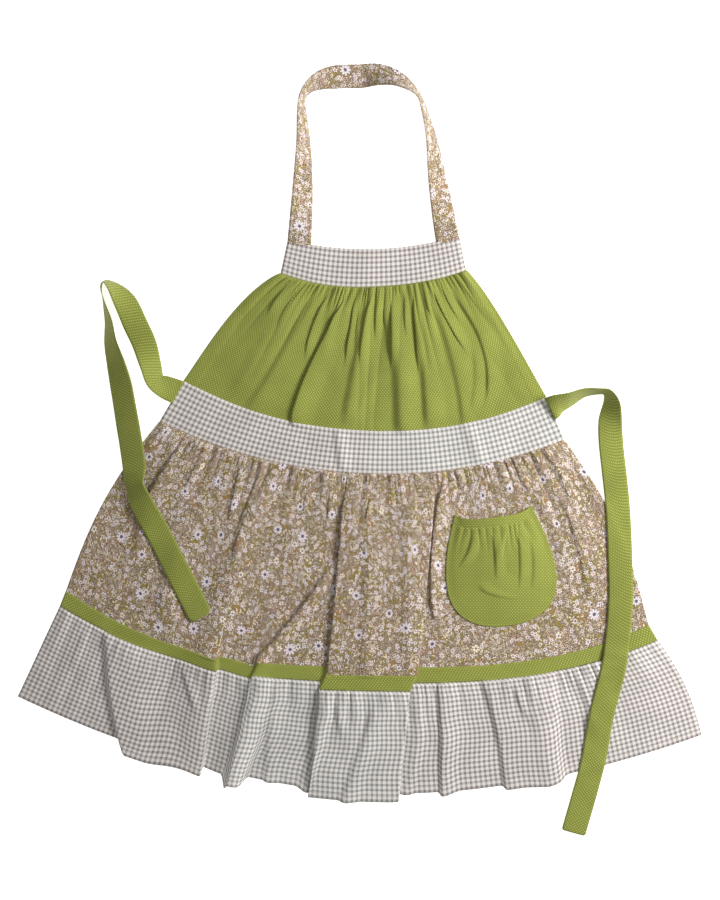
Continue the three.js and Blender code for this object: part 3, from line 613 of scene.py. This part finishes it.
# Leaves and flowers of the print, the lowest first. Cell is the room of one motif in millimetres, share how many of
# the rooms are filled, and radius and heart are shares of the cell. Long is how much longer than wide a leaf is,
# and squash the same for a flower that is seen aslant. Depth is how deep its petals are cut. A motif's ink is a mix
# of the two, and bunch is the size of the patches that the flowers keep to. The real print's finest lines are about
# 0.2 mm, and are drawn as wide as OUTLINE.
LEAVES = table("cell share radius long inks", [
    (4.4, 0.8, 0.46, 2.0, ("khaki", "cream")),
    (7.0, 0.5, 0.46, 2.3, ("leaf", "khaki")),
    (5.2, 0.62, 0.47, 3.0, ("cream", "rose")),
])
FLOWERS = table("cell share radius petals depth heart squash inks centre bunch", [
    (3.7, 0.95, 0.46, 4, 0.46, 0.15, 1.0, ("cream", "rose"), "umber", 22),
    (5.4, 0.55, 0.46, 5, 0.42, 0.12, 1.2, ("rose", "cream"), "umber", 34),
    (8.0, 0.42, 0.46, 5, 0.4, 0.09, 1.3, ("cream", "lilac"), "umber", 40),
    (11.0, 0.3, 0.46, 6, 0.42, 0.055, 1.35, ("lilac", "rose"), "umber", 60),
    (13.0, 0.05, 0.44, 6, 0.34, 0.085, 1.15, ("lilac", "cream"), "slate", 80),
    (58.0, 0.8, 0.15, 9, 0.34, 0.036, 1.1, ("lilac", "lilac"), "slate", 200),
])
OUTLINE = 0.5


def motif_cells(add, flat_mm, cell, seed, long):
    """Random cells of a print. Gives the place within the cell, turned at random and longer one way, and three
    chances."""
    spread = (1 / cell, 1 / cell, 1 / cell)
    start = (seed * 7.3, seed * 3.9, 0.0)
    place = add("VectorMath", flat_mm, spread, start, operation="MULTIPLY_ADD")
    cells = add("TexVoronoi", Vector=place, Scale=1.0, Randomness=0.85, voronoi_dimensions="2D")
    within = add("VectorMath", place, cells.outputs["Position"], operation="SUBTRACT")
    chances = add("SeparateColor", cells.outputs["Color"]).outputs
    turn = add("Math", chances[1], 2 * np.pi, operation="MULTIPLY")
    turned = add("VectorRotate", Vector=within, Angle=turn, rotation_type="Z_AXIS")
    shaped = add("VectorMath", turned, (1, long, 0), operation="MULTIPLY")
    return shaped, add("VectorMath", shaped, operation="LENGTH"), chances


def ink_of(add, colours, inks, chance):
    """The ink of one motif, somewhere between the two."""
    first, second = (getattr(colours, ink) for ink in inks)
    return add("Mix", chance, A=first, B=second, data_type="RGBA")


def printed(add, colour, reach, chosen, layers):
    """Prints a motif's layers over the colour. Each layer is the edge that it reaches to and its ink."""
    for edge, ink in layers:
        inside = add("Math", reach, edge, operation="LESS_THAN")
        amount = add("Math", inside, chosen, operation="MULTIPLY")
        colour = add("Mix", amount, A=colour, B=ink, data_type="RGBA")
    return colour


def printed_leaf(add, flat_mm, colour, leaf, colours, seed):
    _, reach, chances = motif_cells(add, flat_mm, leaf["cell"], seed, leaf["long"])
    chosen = add("Math", chances[0], leaf["share"], operation="LESS_THAN")
    ink = ink_of(add, colours, leaf["inks"], chances[2])
    layers = ((leaf["radius"] + OUTLINE / leaf["cell"], colours.umber), (leaf["radius"], ink))
    return printed(add, colour, reach, chosen, layers)


def printed_flower(add, flat_mm, colour, flower, colours, seed):
    cell = flower["cell"]
    within, distance, chances = motif_cells(add, flat_mm, cell, seed, flower["squash"])
    ways = add("SeparateXYZ", within)
    angle = add("Math", ways.outputs[1], ways.outputs[0], operation="ARCTAN2")
    petal_angle = add("Math", angle, flower["petals"], operation="MULTIPLY")
    petal = add("Math", petal_angle, operation="COSINE")
    rim = add("MapRange", petal, -1.0, 0.6, 1 - flower["depth"], 1.0, interpolation_type="SMOOTHSTEP")
    size = add("MapRange", chances[2], 0.0, 1.0, 0.68 * flower["radius"], flower["radius"])
    reach = add("Math", rim, size, operation="MULTIPLY")
    bunches = add("TexNoise", Vector=flat_mm, Scale=1 / flower["bunch"], Detail=1.0)
    crowd = add("MapRange", bunches, 0.38, 0.6, 0.35, 1.4)
    limit = add("Math", crowd, flower["share"], operation="MULTIPLY")
    chosen = add("Math", chances[0], limit, operation="LESS_THAN")
    ink = ink_of(add, colours, flower["inks"], chances[2])
    shading = add("MapRange", petal, -1.0, 0.2, 0.74, 1.0)
    shaded = add("VectorMath", ink, Scale=shading, operation="SCALE")
    edge = add("Math", reach, OUTLINE / cell, operation="ADD")
    layers = ((edge, colours.umber), (reach, shaded), (flower["heart"] + 0.6 * OUTLINE / cell, colours.umber),
              (flower["heart"], getattr(colours, flower["centre"])))
    return printed(add, colour, distance, chosen, layers)


def floral_cotton(colours, cloth):
    """Fine cotton lawn, printed all over with leaves and small flowers. The ink sinks into the threads, so the print
    is as matt as the cloth, and its lines waver a little as drawn ones do."""
    material, add, flat_mm = new_cotton("floral cotton lawn")
    wobble = add("TexNoise", Vector=flat_mm, Scale=0.32, Detail=1.0)
    waver = (2.4, 2.4, 0.0)
    drawn = add("VectorMath", wobble.outputs["Color"], waver, flat_mm, operation="MULTIPLY_ADD")
    colour = colours.ground
    for patch_size, ink in ((22, colours.blush), (30, colours.khaki)):
        patches = add("TexNoise", Vector=flat_mm, Scale=1 / patch_size, Detail=2.0)
        amount = add("MapRange", patches, 0.46, 0.56)
        colour = add("Mix", amount, A=colour, B=ink, data_type="RGBA")
    for seed, leaf in enumerate(LEAVES):
        colour = printed_leaf(add, drawn, colour, leaf, colours, seed + 1)
    for seed, flower in enumerate(FLOWERS):
        colour = printed_flower(add, drawn, colour, flower, colours, seed + 11)
    woven_finish(add, flat_mm, colour, cloth)
    return material


def cotton_thread(name, colour):
    """Spun sewing thread: a little smoother than the cloth, with a faint shine along the stitch."""
    material, add = new_material(name)
    place = add("TexCoord").outputs["Object"]
    twist = add("TexNoise", Vector=place, Scale=900.0)
    shade = add("MapRange", twist, 0.0, 1.0, 0.85, 1.1)
    dyed = add("VectorMath", colour[:3], Scale=shade, operation="SCALE")
    thread = add("BsdfPrincipled", Base_Color=dyed, Roughness=0.6, Specular_IOR_Level=0.35, Sheen_Weight=0.1)
    add("OutputMaterial", Surface=thread)
    return material


MAKERS = dict(checked_cotton=checked_cotton, spotted_cotton=spotted_cotton, floral_cotton=floral_cotton)


@cache
def fabric(slot):
    """The cotton of a slot, made once."""
    scene = bpy.context.scene
    return MAKERS[slot](scene.cloth_colours, scene.cloth_sizes)


# Bands are doubled cloth and gathered panels are single. Columns and rows are those of the mesh. Cut is the width and
# depth of the flat piece, before it was gathered and sewn, in metres.
BANDS = table("name replaced seam columns rows slot cut rests_on", [
    ("bib_band_cloth", "bib_band", 0, 130, 26, "checked_cotton", (0.25, 0.051), ["bib_cloth"]),
    ("waist_band_cloth", "waist_band", 2, 260, 30, "checked_cotton", (0.56, 0.058), ["bib_cloth", "skirt_cloth"]),
    ("hem_band_cloth", "hem_band", 4, 400, 12, "spotted_cotton", (0.84, 0.021), ["skirt_cloth", "ruffle_cloth"]),
])
PANELS = table("name replaced seam columns rows slot cut", [
    ("bib_cloth", "bib_panel", 1, 370, 122, "spotted_cotton", (0.52, 0.2)),
    ("skirt_cloth", "skirt_panel", 3, 460, 98, "floral_cotton", (0.86, 0.275)),
    ("ruffle_cloth", "hem_ruffle", 5, 560, 80, "checked_cotton", (1.02, 0.155)),
])
TURNED_EDGE = 1.6 * MM
HEM_SLOPE = 1.2 * MM


def sewn_piece(lie, row, surface):
    return cloth_piece(row["name"], row["replaced"], row["columns"], row["rows"], surface, row["cut"], row["slot"],
                       lie.cloth.cotton)


def band_surface(lie, band):
    """A doubled band: its long edges are turned under, so they round down to the cloth below."""
    depth = lie.depths[band["seam"]]

    def surface(portion, down):
        level = band["seam"] + down
        edge = np.minimum(down, 1 - down) * depth / TURNED_EDGE
        if band["seam"] == 0:
            edge = np.minimum(edge, np.minimum(portion, 1 - portion) * lie.widths[0] / TURNED_EDGE)
        rounding = np.sqrt(1 - (1 - np.clip(edge, 0, 1)) ** 2)
        return lie.place(portion, level, gathered=False, rise=lie.cloth.band_rise * (0.25 + 0.75 * rounding))

    return surface


def panel_surface(lie, panel):
    """A single gathered panel, from below the band above it to below the band under it, or to its own hem."""
    cloth = lie.cloth
    seam = panel["seam"]
    depth = lie.depths[seam]
    is_ruffle = seam + 1 == HEM
    top = seam - cloth.tuck / lie.depths[seam - 1]
    foot = HEM if is_ruffle else seam + 1 + cloth.tuck / lie.depths[seam + 1]

    def surface(portion, down):
        level = top + (foot - top) * down ** 1.25
        across = lie.uneven(portion)
        side = np.minimum(across, 1 - across) * lie.widths[seam]
        hem = smooth((cloth.side_hem - side) / HEM_SLOPE + 0.5)
        if is_ruffle:
            hem = np.maximum(hem, smooth((cloth.hem_depth - (HEM - level) * depth) / HEM_SLOPE + 0.5))
        return lie.place(portion, level, rise=cloth.hem_rise * hem)

    return surface


class APRON_OT_bands(bpy.types.Operator):
    """Makes the bib band, the waist band and the hem band"""

    bl_idname = "apron.bands"
    bl_label = "Make the bands"

    def execute(self, context):
        lie = Lie(context.scene)
        for band in BANDS:
            piece = sewn_piece(lie, band, band_surface(lie, band))
        return {"FINISHED"}


class APRON_OT_gathered_panels(bpy.types.Operator):
    """Makes the gathered bib, skirt and ruffle"""

    bl_idname = "apron.gathered_panels"
    bl_label = "Make the gathered panels"

    def execute(self, context):
        lie = Lie(context.scene)
        for panel in PANELS:
            piece = sewn_piece(lie, panel, panel_surface(lie, panel))
        return {"FINISHED"}


def pocket_rim(sizes, portion):
    """The pocket's sewn rim, from the right end of the mouth round the foot to the left end."""
    half = sizes.pocket_width / 2
    top = sizes.pocket_depth / 2
    widest = 0.1 * sizes.pocket_depth
    squareness = 0.86
    side = np.where(portion < 0.5, 1, -1)
    quarters = 4 * np.minimum(portion, 1 - portion)
    bow = np.sin(np.pi / 2 * np.clip(quarters, 0, 1))
    side_x = side * (sizes.pocket_mouth / 2 + (half - sizes.pocket_mouth / 2) * bow)
    side_y = top - (top + widest) * quarters
    angle = np.pi / 2 * np.clip(quarters - 1, 0, 1)
    foot_x = side * half * np.clip(np.cos(angle), 0, 1) ** squareness
    foot_y = -widest - (top - widest) * np.sin(angle) ** squareness
    return np.where(quarters < 1, side_x, foot_x), np.where(quarters < 1, side_y, foot_y)


# Pressed creases of the pocket. Each crest runs through three places, across and up from the pocket's middle, in
# millimetres. Side is the way that its steep slope faces.
POCKET_CREASES = table("at lift steep soft side", [
    (((-31, 54), (-36, 34), (-54, 8)), 2.6, 4, 16, -1),
    (((-4, 52), (-3, 30), (-6, -12)), 2.6, 4, 14, -1),
    (((12, 54), (7, 36), (1, 14)), 1.8, 4, 9, 1),
    (((31, 56), (31, 30), (24, -30)), 2.6, 4, 16, -1),
    (((46, 40), (48, 6), (40, -34)), 1.6, 5, 16, -1),
    (((-24, -16), (-12, -34), (18, -44)), 1.8, 8, 20, -1),
])


def pocket_surface(lie):
    sizes = lie.sizes
    mouth_hem = 13 * MM
    mouth_dip = 10 * MM

    def surface(portion, down):
        p = 2 * portion - 1
        q = 1 - 2 * down
        ring = np.maximum(np.maximum(np.abs(p), np.abs(q)), TINY)
        a = p / ring
        b = q / ring
        on_mouth = b >= 1 - TINY
        rim_share = np.where(a >= 1 - TINY, (1 - b) / 6, np.where(b <= -1 + TINY, 0.5 - a / 6, 1 - (1 - b) / 6))
        rim_x, rim_y = pocket_rim(sizes, rim_share)
        x = ring * np.where(on_mouth, a * sizes.pocket_mouth / 2, rim_x)
        y = ring * np.where(on_mouth, sizes.pocket_depth / 2, rim_y)
        below_mouth = (1 - q) / 2 * sizes.pocket_depth
        inside = smooth((1 - np.abs(p)) * sizes.pocket_mouth / 2 / (9 * MM)) * smooth((1 + q) / 0.16)
        up = (1 + q) / 2
        lip = (1 - p**2) * up**1.7
        belly = 0.3 * (1 - p**2) * (1 - q**2)
        height = (sizes.pocket_gape - 1.5 * MM) * (lip + belly) * (0.3 + 0.7 * inside)
        for crease in POCKET_CREASES:
            (x0, y0), (x1, y1), (x2, y2) = crease["at"]
            t = np.clip((y / MM - y0) / (y2 - y0), 0, 1)
            bend = (y1 - y0) / (y2 - y0)
            through = (x1 - x0 - (x2 - x0) * bend) / (bend * (1 - bend))
            away = (x / MM - (x0 + (x2 - x0) * t + through * t * (1 - t))) * crease["side"]
            slope = np.where(away > 0, away / crease["steep"], -away / crease["soft"])
            profile = rounded(slope)
            height = height + crease["lift"] * MM * profile * np.sin(np.pi * t) ** 0.6 * inside
        gathered = smooth((below_mouth - mouth_hem) / (5 * MM)) * (1 - smooth((below_mouth - mouth_hem) / (60 * MM)))
        puffs = np.abs(np.sin(np.pi * (11 * portion + 1.4 * wander(portion * 6, 61)))) ** 0.75
        height = height + 1.6 * MM * puffs * gathered * inside * (0.4 + 0.8 * wander(portion * 7, 62))
        height = height + 0.5 * MM * smooth((mouth_hem - below_mouth) / HEM_SLOPE + 0.5)
        y = y - mouth_dip * (1 - p**4) * up**4
        height = height + 0.7 * MM * crumple(x, y, 18 * MM, 63) * inside
        plan_x, plan_y = rotated(x, y, lie.POCKET_TURN)
        seat = lie.cloth.cotton + 0.6 * MM
        return np.stack([lie.pocket_middle[0] + plan_x, lie.pocket_middle[1] + plan_y, seat + height], axis=-1)

    def grain(portion, down):
        return surface(portion, down)[:, :2] - lie.pocket_middle

    return surface, grain


class APRON_OT_pocket(bpy.types.Operator):
    """Makes the patch pocket with its gathered, gaping mouth"""

    bl_idname = "apron.pocket"
    bl_label = "Make the pocket"

    def execute(self, context):
        lie = Lie(context.scene)
        cut = (0.17, 0.17)
        surface, grain = pocket_surface(lie)
        piece = cloth_piece("pocket_cloth", "pocket", 110, 110, surface, cut, "spotted_cotton", lie.cloth.cotton,
                            grain)
        return {"FINISHED"}


def route(places, samples):
    """A smooth line through the places, sampled at even steps. Gives the points and how many stations each is on."""
    places = np.array(places, float)
    before = 2 * places[0] - places[1]
    after = 2 * places[-1] - places[-2]
    all_places = np.vstack([before, places, after])
    points = []
    stations = []
    steps_between = 24
    for i in range(len(places) - 1):
        p0, p1, p2, p3 = all_places[i : i + 4]
        d0, d1, d2 = (max(np.linalg.norm(b - a) ** 0.5, TINY) for a, b in ((p0, p1), (p1, p2), (p2, p3)))
        m1 = ((p1 - p0) / d0 - (p2 - p0) / (d0 + d1) + (p2 - p1) / d1) * d1
        m2 = ((p2 - p1) / d1 - (p3 - p1) / (d1 + d2) + (p3 - p2) / d2) * d1
        t = np.linspace(0, 1, steps_between, endpoint=i == len(places) - 2)[:, None]
        points.append((2 * t**3 - 3 * t**2 + 1) * p1 + (t**3 - 2 * t**2 + t) * m1
                      + (3 * t**2 - 2 * t**3) * p2 + (t**3 - t**2) * m2)
        stations.append(i + t[:, 0])
    points = np.vstack(points)
    stations = np.concatenate(stations)
    gone = gone_along(points)
    even = np.linspace(0, gone[-1], samples)
    return between(even, gone, points), np.interp(even, gone, stations)


def cloth_below(names):
    """A function that gives the height of the highest of the named pieces under a point, or of the floor."""
    graph = bpy.context.evaluated_depsgraph_get()
    trees = [BVHTree.FromObject(bpy.data.objects[name], graph) for name in names]

    above = 0.2

    def height(x, y):
        hits = [tree.ray_cast(Vector((x, y, above)), Vector((0, 0, -1)))[0] for tree in trees]
        return max([hit.z for hit in hits if hit is not None], default=0.0)

    return height


def eased(values, steps):
    """Values smoothed along both ways of a lattice."""
    for axis in (0, 1):
        for _ in range(steps[axis]):
            padded = np.pad(values, [(1, 1) if k == axis else (0, 0) for k in (0, 1)], mode="edge")
            low = np.take(padded, range(0, values.shape[axis]), axis=axis)
            high = np.take(padded, range(2, values.shape[axis] + 2), axis=axis)
            values = (low + 2 * values + high) / 4
    return values


def ribbon(name, replaced, places, rolls, width, steps, below, headings, seed, slot, cut, corner=0.0):
    """A strip of doubled cloth along the places. Rolls turn it up on its right-hand edge, or where they are negative
    on its left-hand edge, in degrees. Corner is the radius of the corners at its far end."""
    rows = 10
    knots_per_step = 0.12
    highest_flutter = 1.2 * MM
    line, station = route(places, steps + 1)
    tangent = unit(np.gradient(line, axis=0))
    for index, heading in headings.items():
        tangent[index] = heading
    left = np.stack([-tangent[:, 1], tangent[:, 0]], axis=-1)
    smooth_rolls = np.interp(station, range(len(rolls)), rolls)
    roll = np.radians(eased(smooth_rolls[:, None], (8, 0))[:, 0])
    to_end = np.linalg.norm(np.diff(line, axis=0), axis=1)[::-1].cumsum()[::-1]
    cut_off = 1 - np.append(to_end, 0) / max(corner, TINY)
    narrowed = corner / (width / 2) * (1 - np.sqrt(1 - np.clip(cut_off, 0, 1) ** 2))
    reach = np.linspace(1, -1, rows + 1) * (1 - narrowed)[:, None]
    x = line[:, :1] + left[:, :1] * np.cos(roll)[:, None] * reach * width / 2
    y = line[:, 1:] + left[:, 1:] * np.cos(roll)[:, None] * reach * width / 2
    support = np.array([[below(px, py) for px, py in zip(*row)] for row in zip(x, y)])
    lifted = np.maximum.reduce([np.roll(support, k, axis=0) for k in (-2, -1, 0, 1, 2)])
    lifted[:2] = support[:2]
    lifted[-2:] = support[-2:]
    drape = np.maximum(eased(lifted, (10, 6)), support)
    standing = smooth(np.abs(np.sin(roll)) / 0.35)[:, None]
    rest = (1 - standing) * drape + standing * drape.max(axis=1, keepdims=True)
    along = np.arange(steps + 1) * knots_per_step
    flutter = (wander(along, seed)[:, None] - 0.5) * reach * highest_flutter + 0.5 * MM * (1 - reach**2)
    lying = np.cos(roll)[:, None]
    risen = (np.sin(roll)[:, None] * reach + np.abs(np.sin(roll))[:, None]) * width / 2
    z = rest + 0.5 * MM + risen + (flutter + 0.6 * MM) * lying
    lattice = np.stack([x, y, z], axis=-1)

    def surface(portion, down):
        """Between the four points of the lattice that are nearest."""
        i = np.clip((portion * steps + TINY).astype(int), 0, steps - 1)
        j = np.clip((down * rows + TINY).astype(int), 0, rows - 1)
        u = (portion * steps - i)[:, None]
        v = (down * rows - j)[:, None]
        near = lattice[i, j] * (1 - u) + lattice[i + 1, j] * u
        far = lattice[i, j + 1] * (1 - u) + lattice[i + 1, j + 1] * u
        return near * (1 - v) + far * v

    return cloth_piece(name, replaced, steps, rows, surface, cut, slot, 1.0 * MM)


class APRON_OT_neck_strap(bpy.types.Operator):
    """Makes the neck strap, one loop from one end of the bib band to the other"""

    bl_idname = "apron.neck_strap"
    bl_label = "Make the neck strap"

    def execute(self, context):
        lie = Lie(context.scene)
        sizes = lie.sizes
        inset = sizes.strap_width / 2 / sizes.bib_top_width
        feet = []
        ups = []
        for near, far in ((0.0, 2 * inset), (1 - 2 * inset, 1.0)):
            ends = np.array([lie.plan(np.array(share_across), np.array(0.0)) for share_across in (near, far)])
            along = unit(ends[1] - ends[0])
            up = np.array([-along[1], along[0]])
            ups.append(up)
            feet.append(ends.mean(axis=0) - up * lie.cloth.tuck)
        places = [feet[0] + (feet[1] - feet[0]) * row["across"] + np.array([0, row["rise"] * sizes.strap_rise])
                  for row in STRAP_STATIONS]
        cut = (0.58, 0.032)
        piece = ribbon("neck_strap_cloth", "neck_strap", places, [row["roll"] for row in STRAP_STATIONS],
                       sizes.strap_width, 260, lambda x, y: 0.0, {0: ups[0], -1: -ups[1]}, 71, "floral_cotton", cut)
        return {"FINISHED"}


class APRON_OT_ties(bpy.types.Operator):
    """Makes the two waist ties, each along its own folds"""

    bl_idname = "apron.ties"
    bl_label = "Make the ties"

    def execute(self, context):
        lie = Lie(context.scene)
        sizes = lie.sizes
        below = cloth_below([row["name"] for row in BANDS + PANELS])
        ties = (
            ("left", -1, LEFT_TIE_STATIONS, 300, (0.72, 0.033), 9 * MM),
            ("right", 1, RIGHT_TIE_STATIONS, 290, (0.71, 0.033), 2 * MM),
        )
        for which, side, stations, steps, cut, corner_radius in ties:
            across = np.array(0.0 if side < 0 else 1.0)
            corner = np.array(lie.plan(across, np.array(2.0)))
            foot = np.array(lie.plan(across, np.array(3.0)))
            edge = unit(foot - corner)
            outwards = np.array([edge[1], -edge[0]]) * -side
            root = corner + edge * (sizes.tie_below_corner + sizes.tie_width / 2) - outwards * 2 * MM
            places = [root + np.array([side * row["out"], row["up"]]) * sizes.tie_length for row in stations]
            piece = ribbon(f"{which}_tie_cloth", f"tie_{which}", places, [row["roll"] for row in stations],
                           sizes.tie_width, steps, below, {0: outwards}, 80 + side, "spotted_cotton", cut,
                           corner_radius)
        return {"FINISHED"}


def along_edges(inset, edge):
    """A row of stitches by each of a piece's two long edges."""
    return [((inset, down), (1 - inset, down)) for down in (edge, 1 - edge)]


def along_sides(side, top, foot):
    """A row of stitches by each of its two sides."""
    return [((across, top), (across, foot)) for across in (side, 1 - side)]


# Rows of stitches by the slot of their thread and by their piece. Corners are shares across and down the piece.
TIE_ROWS = [((0.01, 0.06), (0.99, 0.06), (0.99, 0.94), (0.01, 0.94))]
STITCHES = dict(
    checked_cotton=dict(
        bib_band_cloth=along_edges(0.012, 0.045),
        waist_band_cloth=along_edges(0.004, 0.04),
        ruffle_cloth=[((0.006, 0.96), (0.994, 0.96)), *along_sides(0.0093, 0.1, 0.95)],
    ),
    spotted_cotton=dict(
        hem_band_cloth=along_edges(0.003, 0.095),
        bib_cloth=along_sides(0.03, 0.06, 0.95),
        pocket_cloth=[((0.9835, 0.03), (0.9835, 0.9835), (0.0165, 0.9835), (0.0165, 0.03)),
                      ((0.03, 0.07), (0.97, 0.07))],
        left_tie_cloth=TIE_ROWS,
        right_tie_cloth=TIE_ROWS,
    ),
    floral_cotton=dict(skirt_cloth=along_sides(0.0137, 0.05, 0.97), neck_strap_cloth=along_edges(0.01, 0.0625)),
)


def stitch_places(name, corners, cloth):
    """A matrix for each stitch of a row: its middle on the cloth, its length along the row and its back upwards."""
    surface = SURFACES[name]
    samples_of_leg = 1500
    legs = np.linspace(0, len(corners) - 1, samples_of_leg * (len(corners) - 1))
    place = between(legs, range(len(corners)), corners)
    points = surface(*place.T)
    gone = gone_along(points)
    middles = np.arange(0.5 * cloth.stitch_pitch, gone[-1], cloth.stitch_pitch)
    start, middle, end = (between(middles + step * cloth.stitch_length, gone, points) for step in (-0.5, 0, 0.5))
    across, down = between(middles, gone, place).T
    nudge = 0.002
    rightwards = surface(across + nudge, down) - surface(across - nudge, down)
    downwards = surface(across, down + nudge) - surface(across, down - nudge)
    upwards = unit(np.cross(downwards, rightwards))
    along = unit(end - start)
    sideways = np.cross(upwards, along)
    middle = middle + upwards * bpy.data.objects[name].modifiers["Cotton"].thickness
    half = np.array([cloth.stitch_length, cloth.stitch_width, cloth.stitch_width * 0.6]) / 2
    return np.stack([along * half[0], sideways * half[1], upwards * half[2], middle], axis=2)


class APRON_OT_stitches(bpy.types.Operator):
    """Sews the seams, the hems and the pocket's rim with rows of stitches"""

    bl_idname = "apron.stitches"
    bl_label = "Sew the stitches"

    def execute(self, context):
        colours = context.scene.cloth_colours
        threads = (colours.check_thread, colours.green_thread, colours.floral_thread)
        for (slot, pieces), colour in zip(STITCHES.items(), threads):
            maker = bmesh.new()
            for name, rows in pieces.items():
                for corners in rows:
                    for axes in stitch_places(name, corners, context.scene.cloth_sizes):
                        matrix = Matrix([*axes, (0, 0, 0, 1)])
                        bmesh.ops.create_icosphere(maker, subdivisions=1, radius=1, matrix=matrix)
            thread = cotton_thread(f"thread of the {slot.replace('_', ' ')}", colour)
            stitches = mesh_object(f"stitches_{slot}", maker, thread)
            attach(stitches, "root")
        return {"FINISHED"}


class APRON_OT_stage(bpy.types.Operator):
    """Sets the floor, the soft lights and the camera"""

    bl_idname = "apron.stage"
    bl_label = "Set the stage"

    def execute(self, context):
        scene = context.scene
        stage = scene.stage_sizes
        paper, add = new_material("white paper floor")
        sheet = add("BsdfPrincipled", Base_Color=stage.floor, Roughness=0.95, Emission_Color=stage.floor,
                    Emission_Strength=stage.floor_glow)
        add("OutputMaterial", Surface=sheet)
        maker = bmesh.new()
        just_below = Matrix.Translation((0, 0, -0.2 * MM))
        bmesh.ops.create_grid(maker, x_segments=1, y_segments=1, size=4, matrix=just_below)
        mesh_object("floor", maker, paper)

        light = bpy.data.lights.new("key", "AREA")
        light.shape = "DISK"
        light.size = stage.key_size
        light.energy = stage.key_power
        key = linked("key", light)
        key.location = stage.key_place
        key.rotation_euler = (-key.location).to_track_quat("-Z", "Y").to_euler()

        world = bpy.data.worlds.new("soft room")
        world.use_nodes = True
        background = world.node_tree.nodes["Background"]
        background.inputs["Color"].default_value = linear("#ffffff")
        background.inputs["Strength"].default_value = stage.fill
        scene.world = world

        lens = bpy.data.cameras.new("camera")
        lens.lens = lens.sensor_width * stage.camera_height / stage.view_height
        camera = linked("camera", lens)
        camera.location = (stage.view_x, stage.view_y, stage.camera_height)
        scene.camera = camera
        scene.view_settings.view_transform = "Standard"
        return {"FINISHED"}


class APRON_PT_panel(bpy.types.Panel):
    """Lists the apron's sizes and the buttons that make its pieces"""

    bl_idname = "APRON_PT_panel"
    bl_label = "Patchwork Apron"
    bl_space_type = "VIEW_3D"
    bl_region_type = "UI"
    bl_category = "Apron"

    def draw(self, context):
        for operator in OPERATORS:
            self.layout.operator(operator.bl_idname)
        for group in GROUPS:
            settings = getattr(context.scene, group)
            box = self.layout.box()
            for name in settings.__annotations__:
                box.prop(settings, name, text=name.replace("_", " ").capitalize())


GROUPS = dict(apron_sizes=ApronSizes, cloth_sizes=ClothSizes, cloth_colours=ClothColours, stage_sizes=StageSizes)
OPERATORS = [APRON_OT_stage, APRON_OT_gathered_panels, APRON_OT_bands, APRON_OT_pocket, APRON_OT_neck_strap,
             APRON_OT_ties, APRON_OT_stitches]


def register():
    for cls in [*GROUPS.values(), *OPERATORS, APRON_PT_panel]:
        bpy.utils.register_class(cls)
    for name, group in GROUPS.items():
        setattr(bpy.types.Scene, name, PointerProperty(type=group))


def unregister():
    for name in GROUPS:
        delattr(bpy.types.Scene, name)
    for cls in reversed([*GROUPS.values(), *OPERATORS, APRON_PT_panel]):
        bpy.utils.unregister_class(cls)


def main():
    register()
    bpy.ops.apron.stage()
    bpy.ops.apron.gathered_panels()
    bpy.ops.apron.bands()
    bpy.ops.apron.pocket()
    bpy.ops.apron.neck_strap()
    bpy.ops.apron.ties()
    bpy.ops.apron.stitches()


if __name__ == "__main__":
    main()
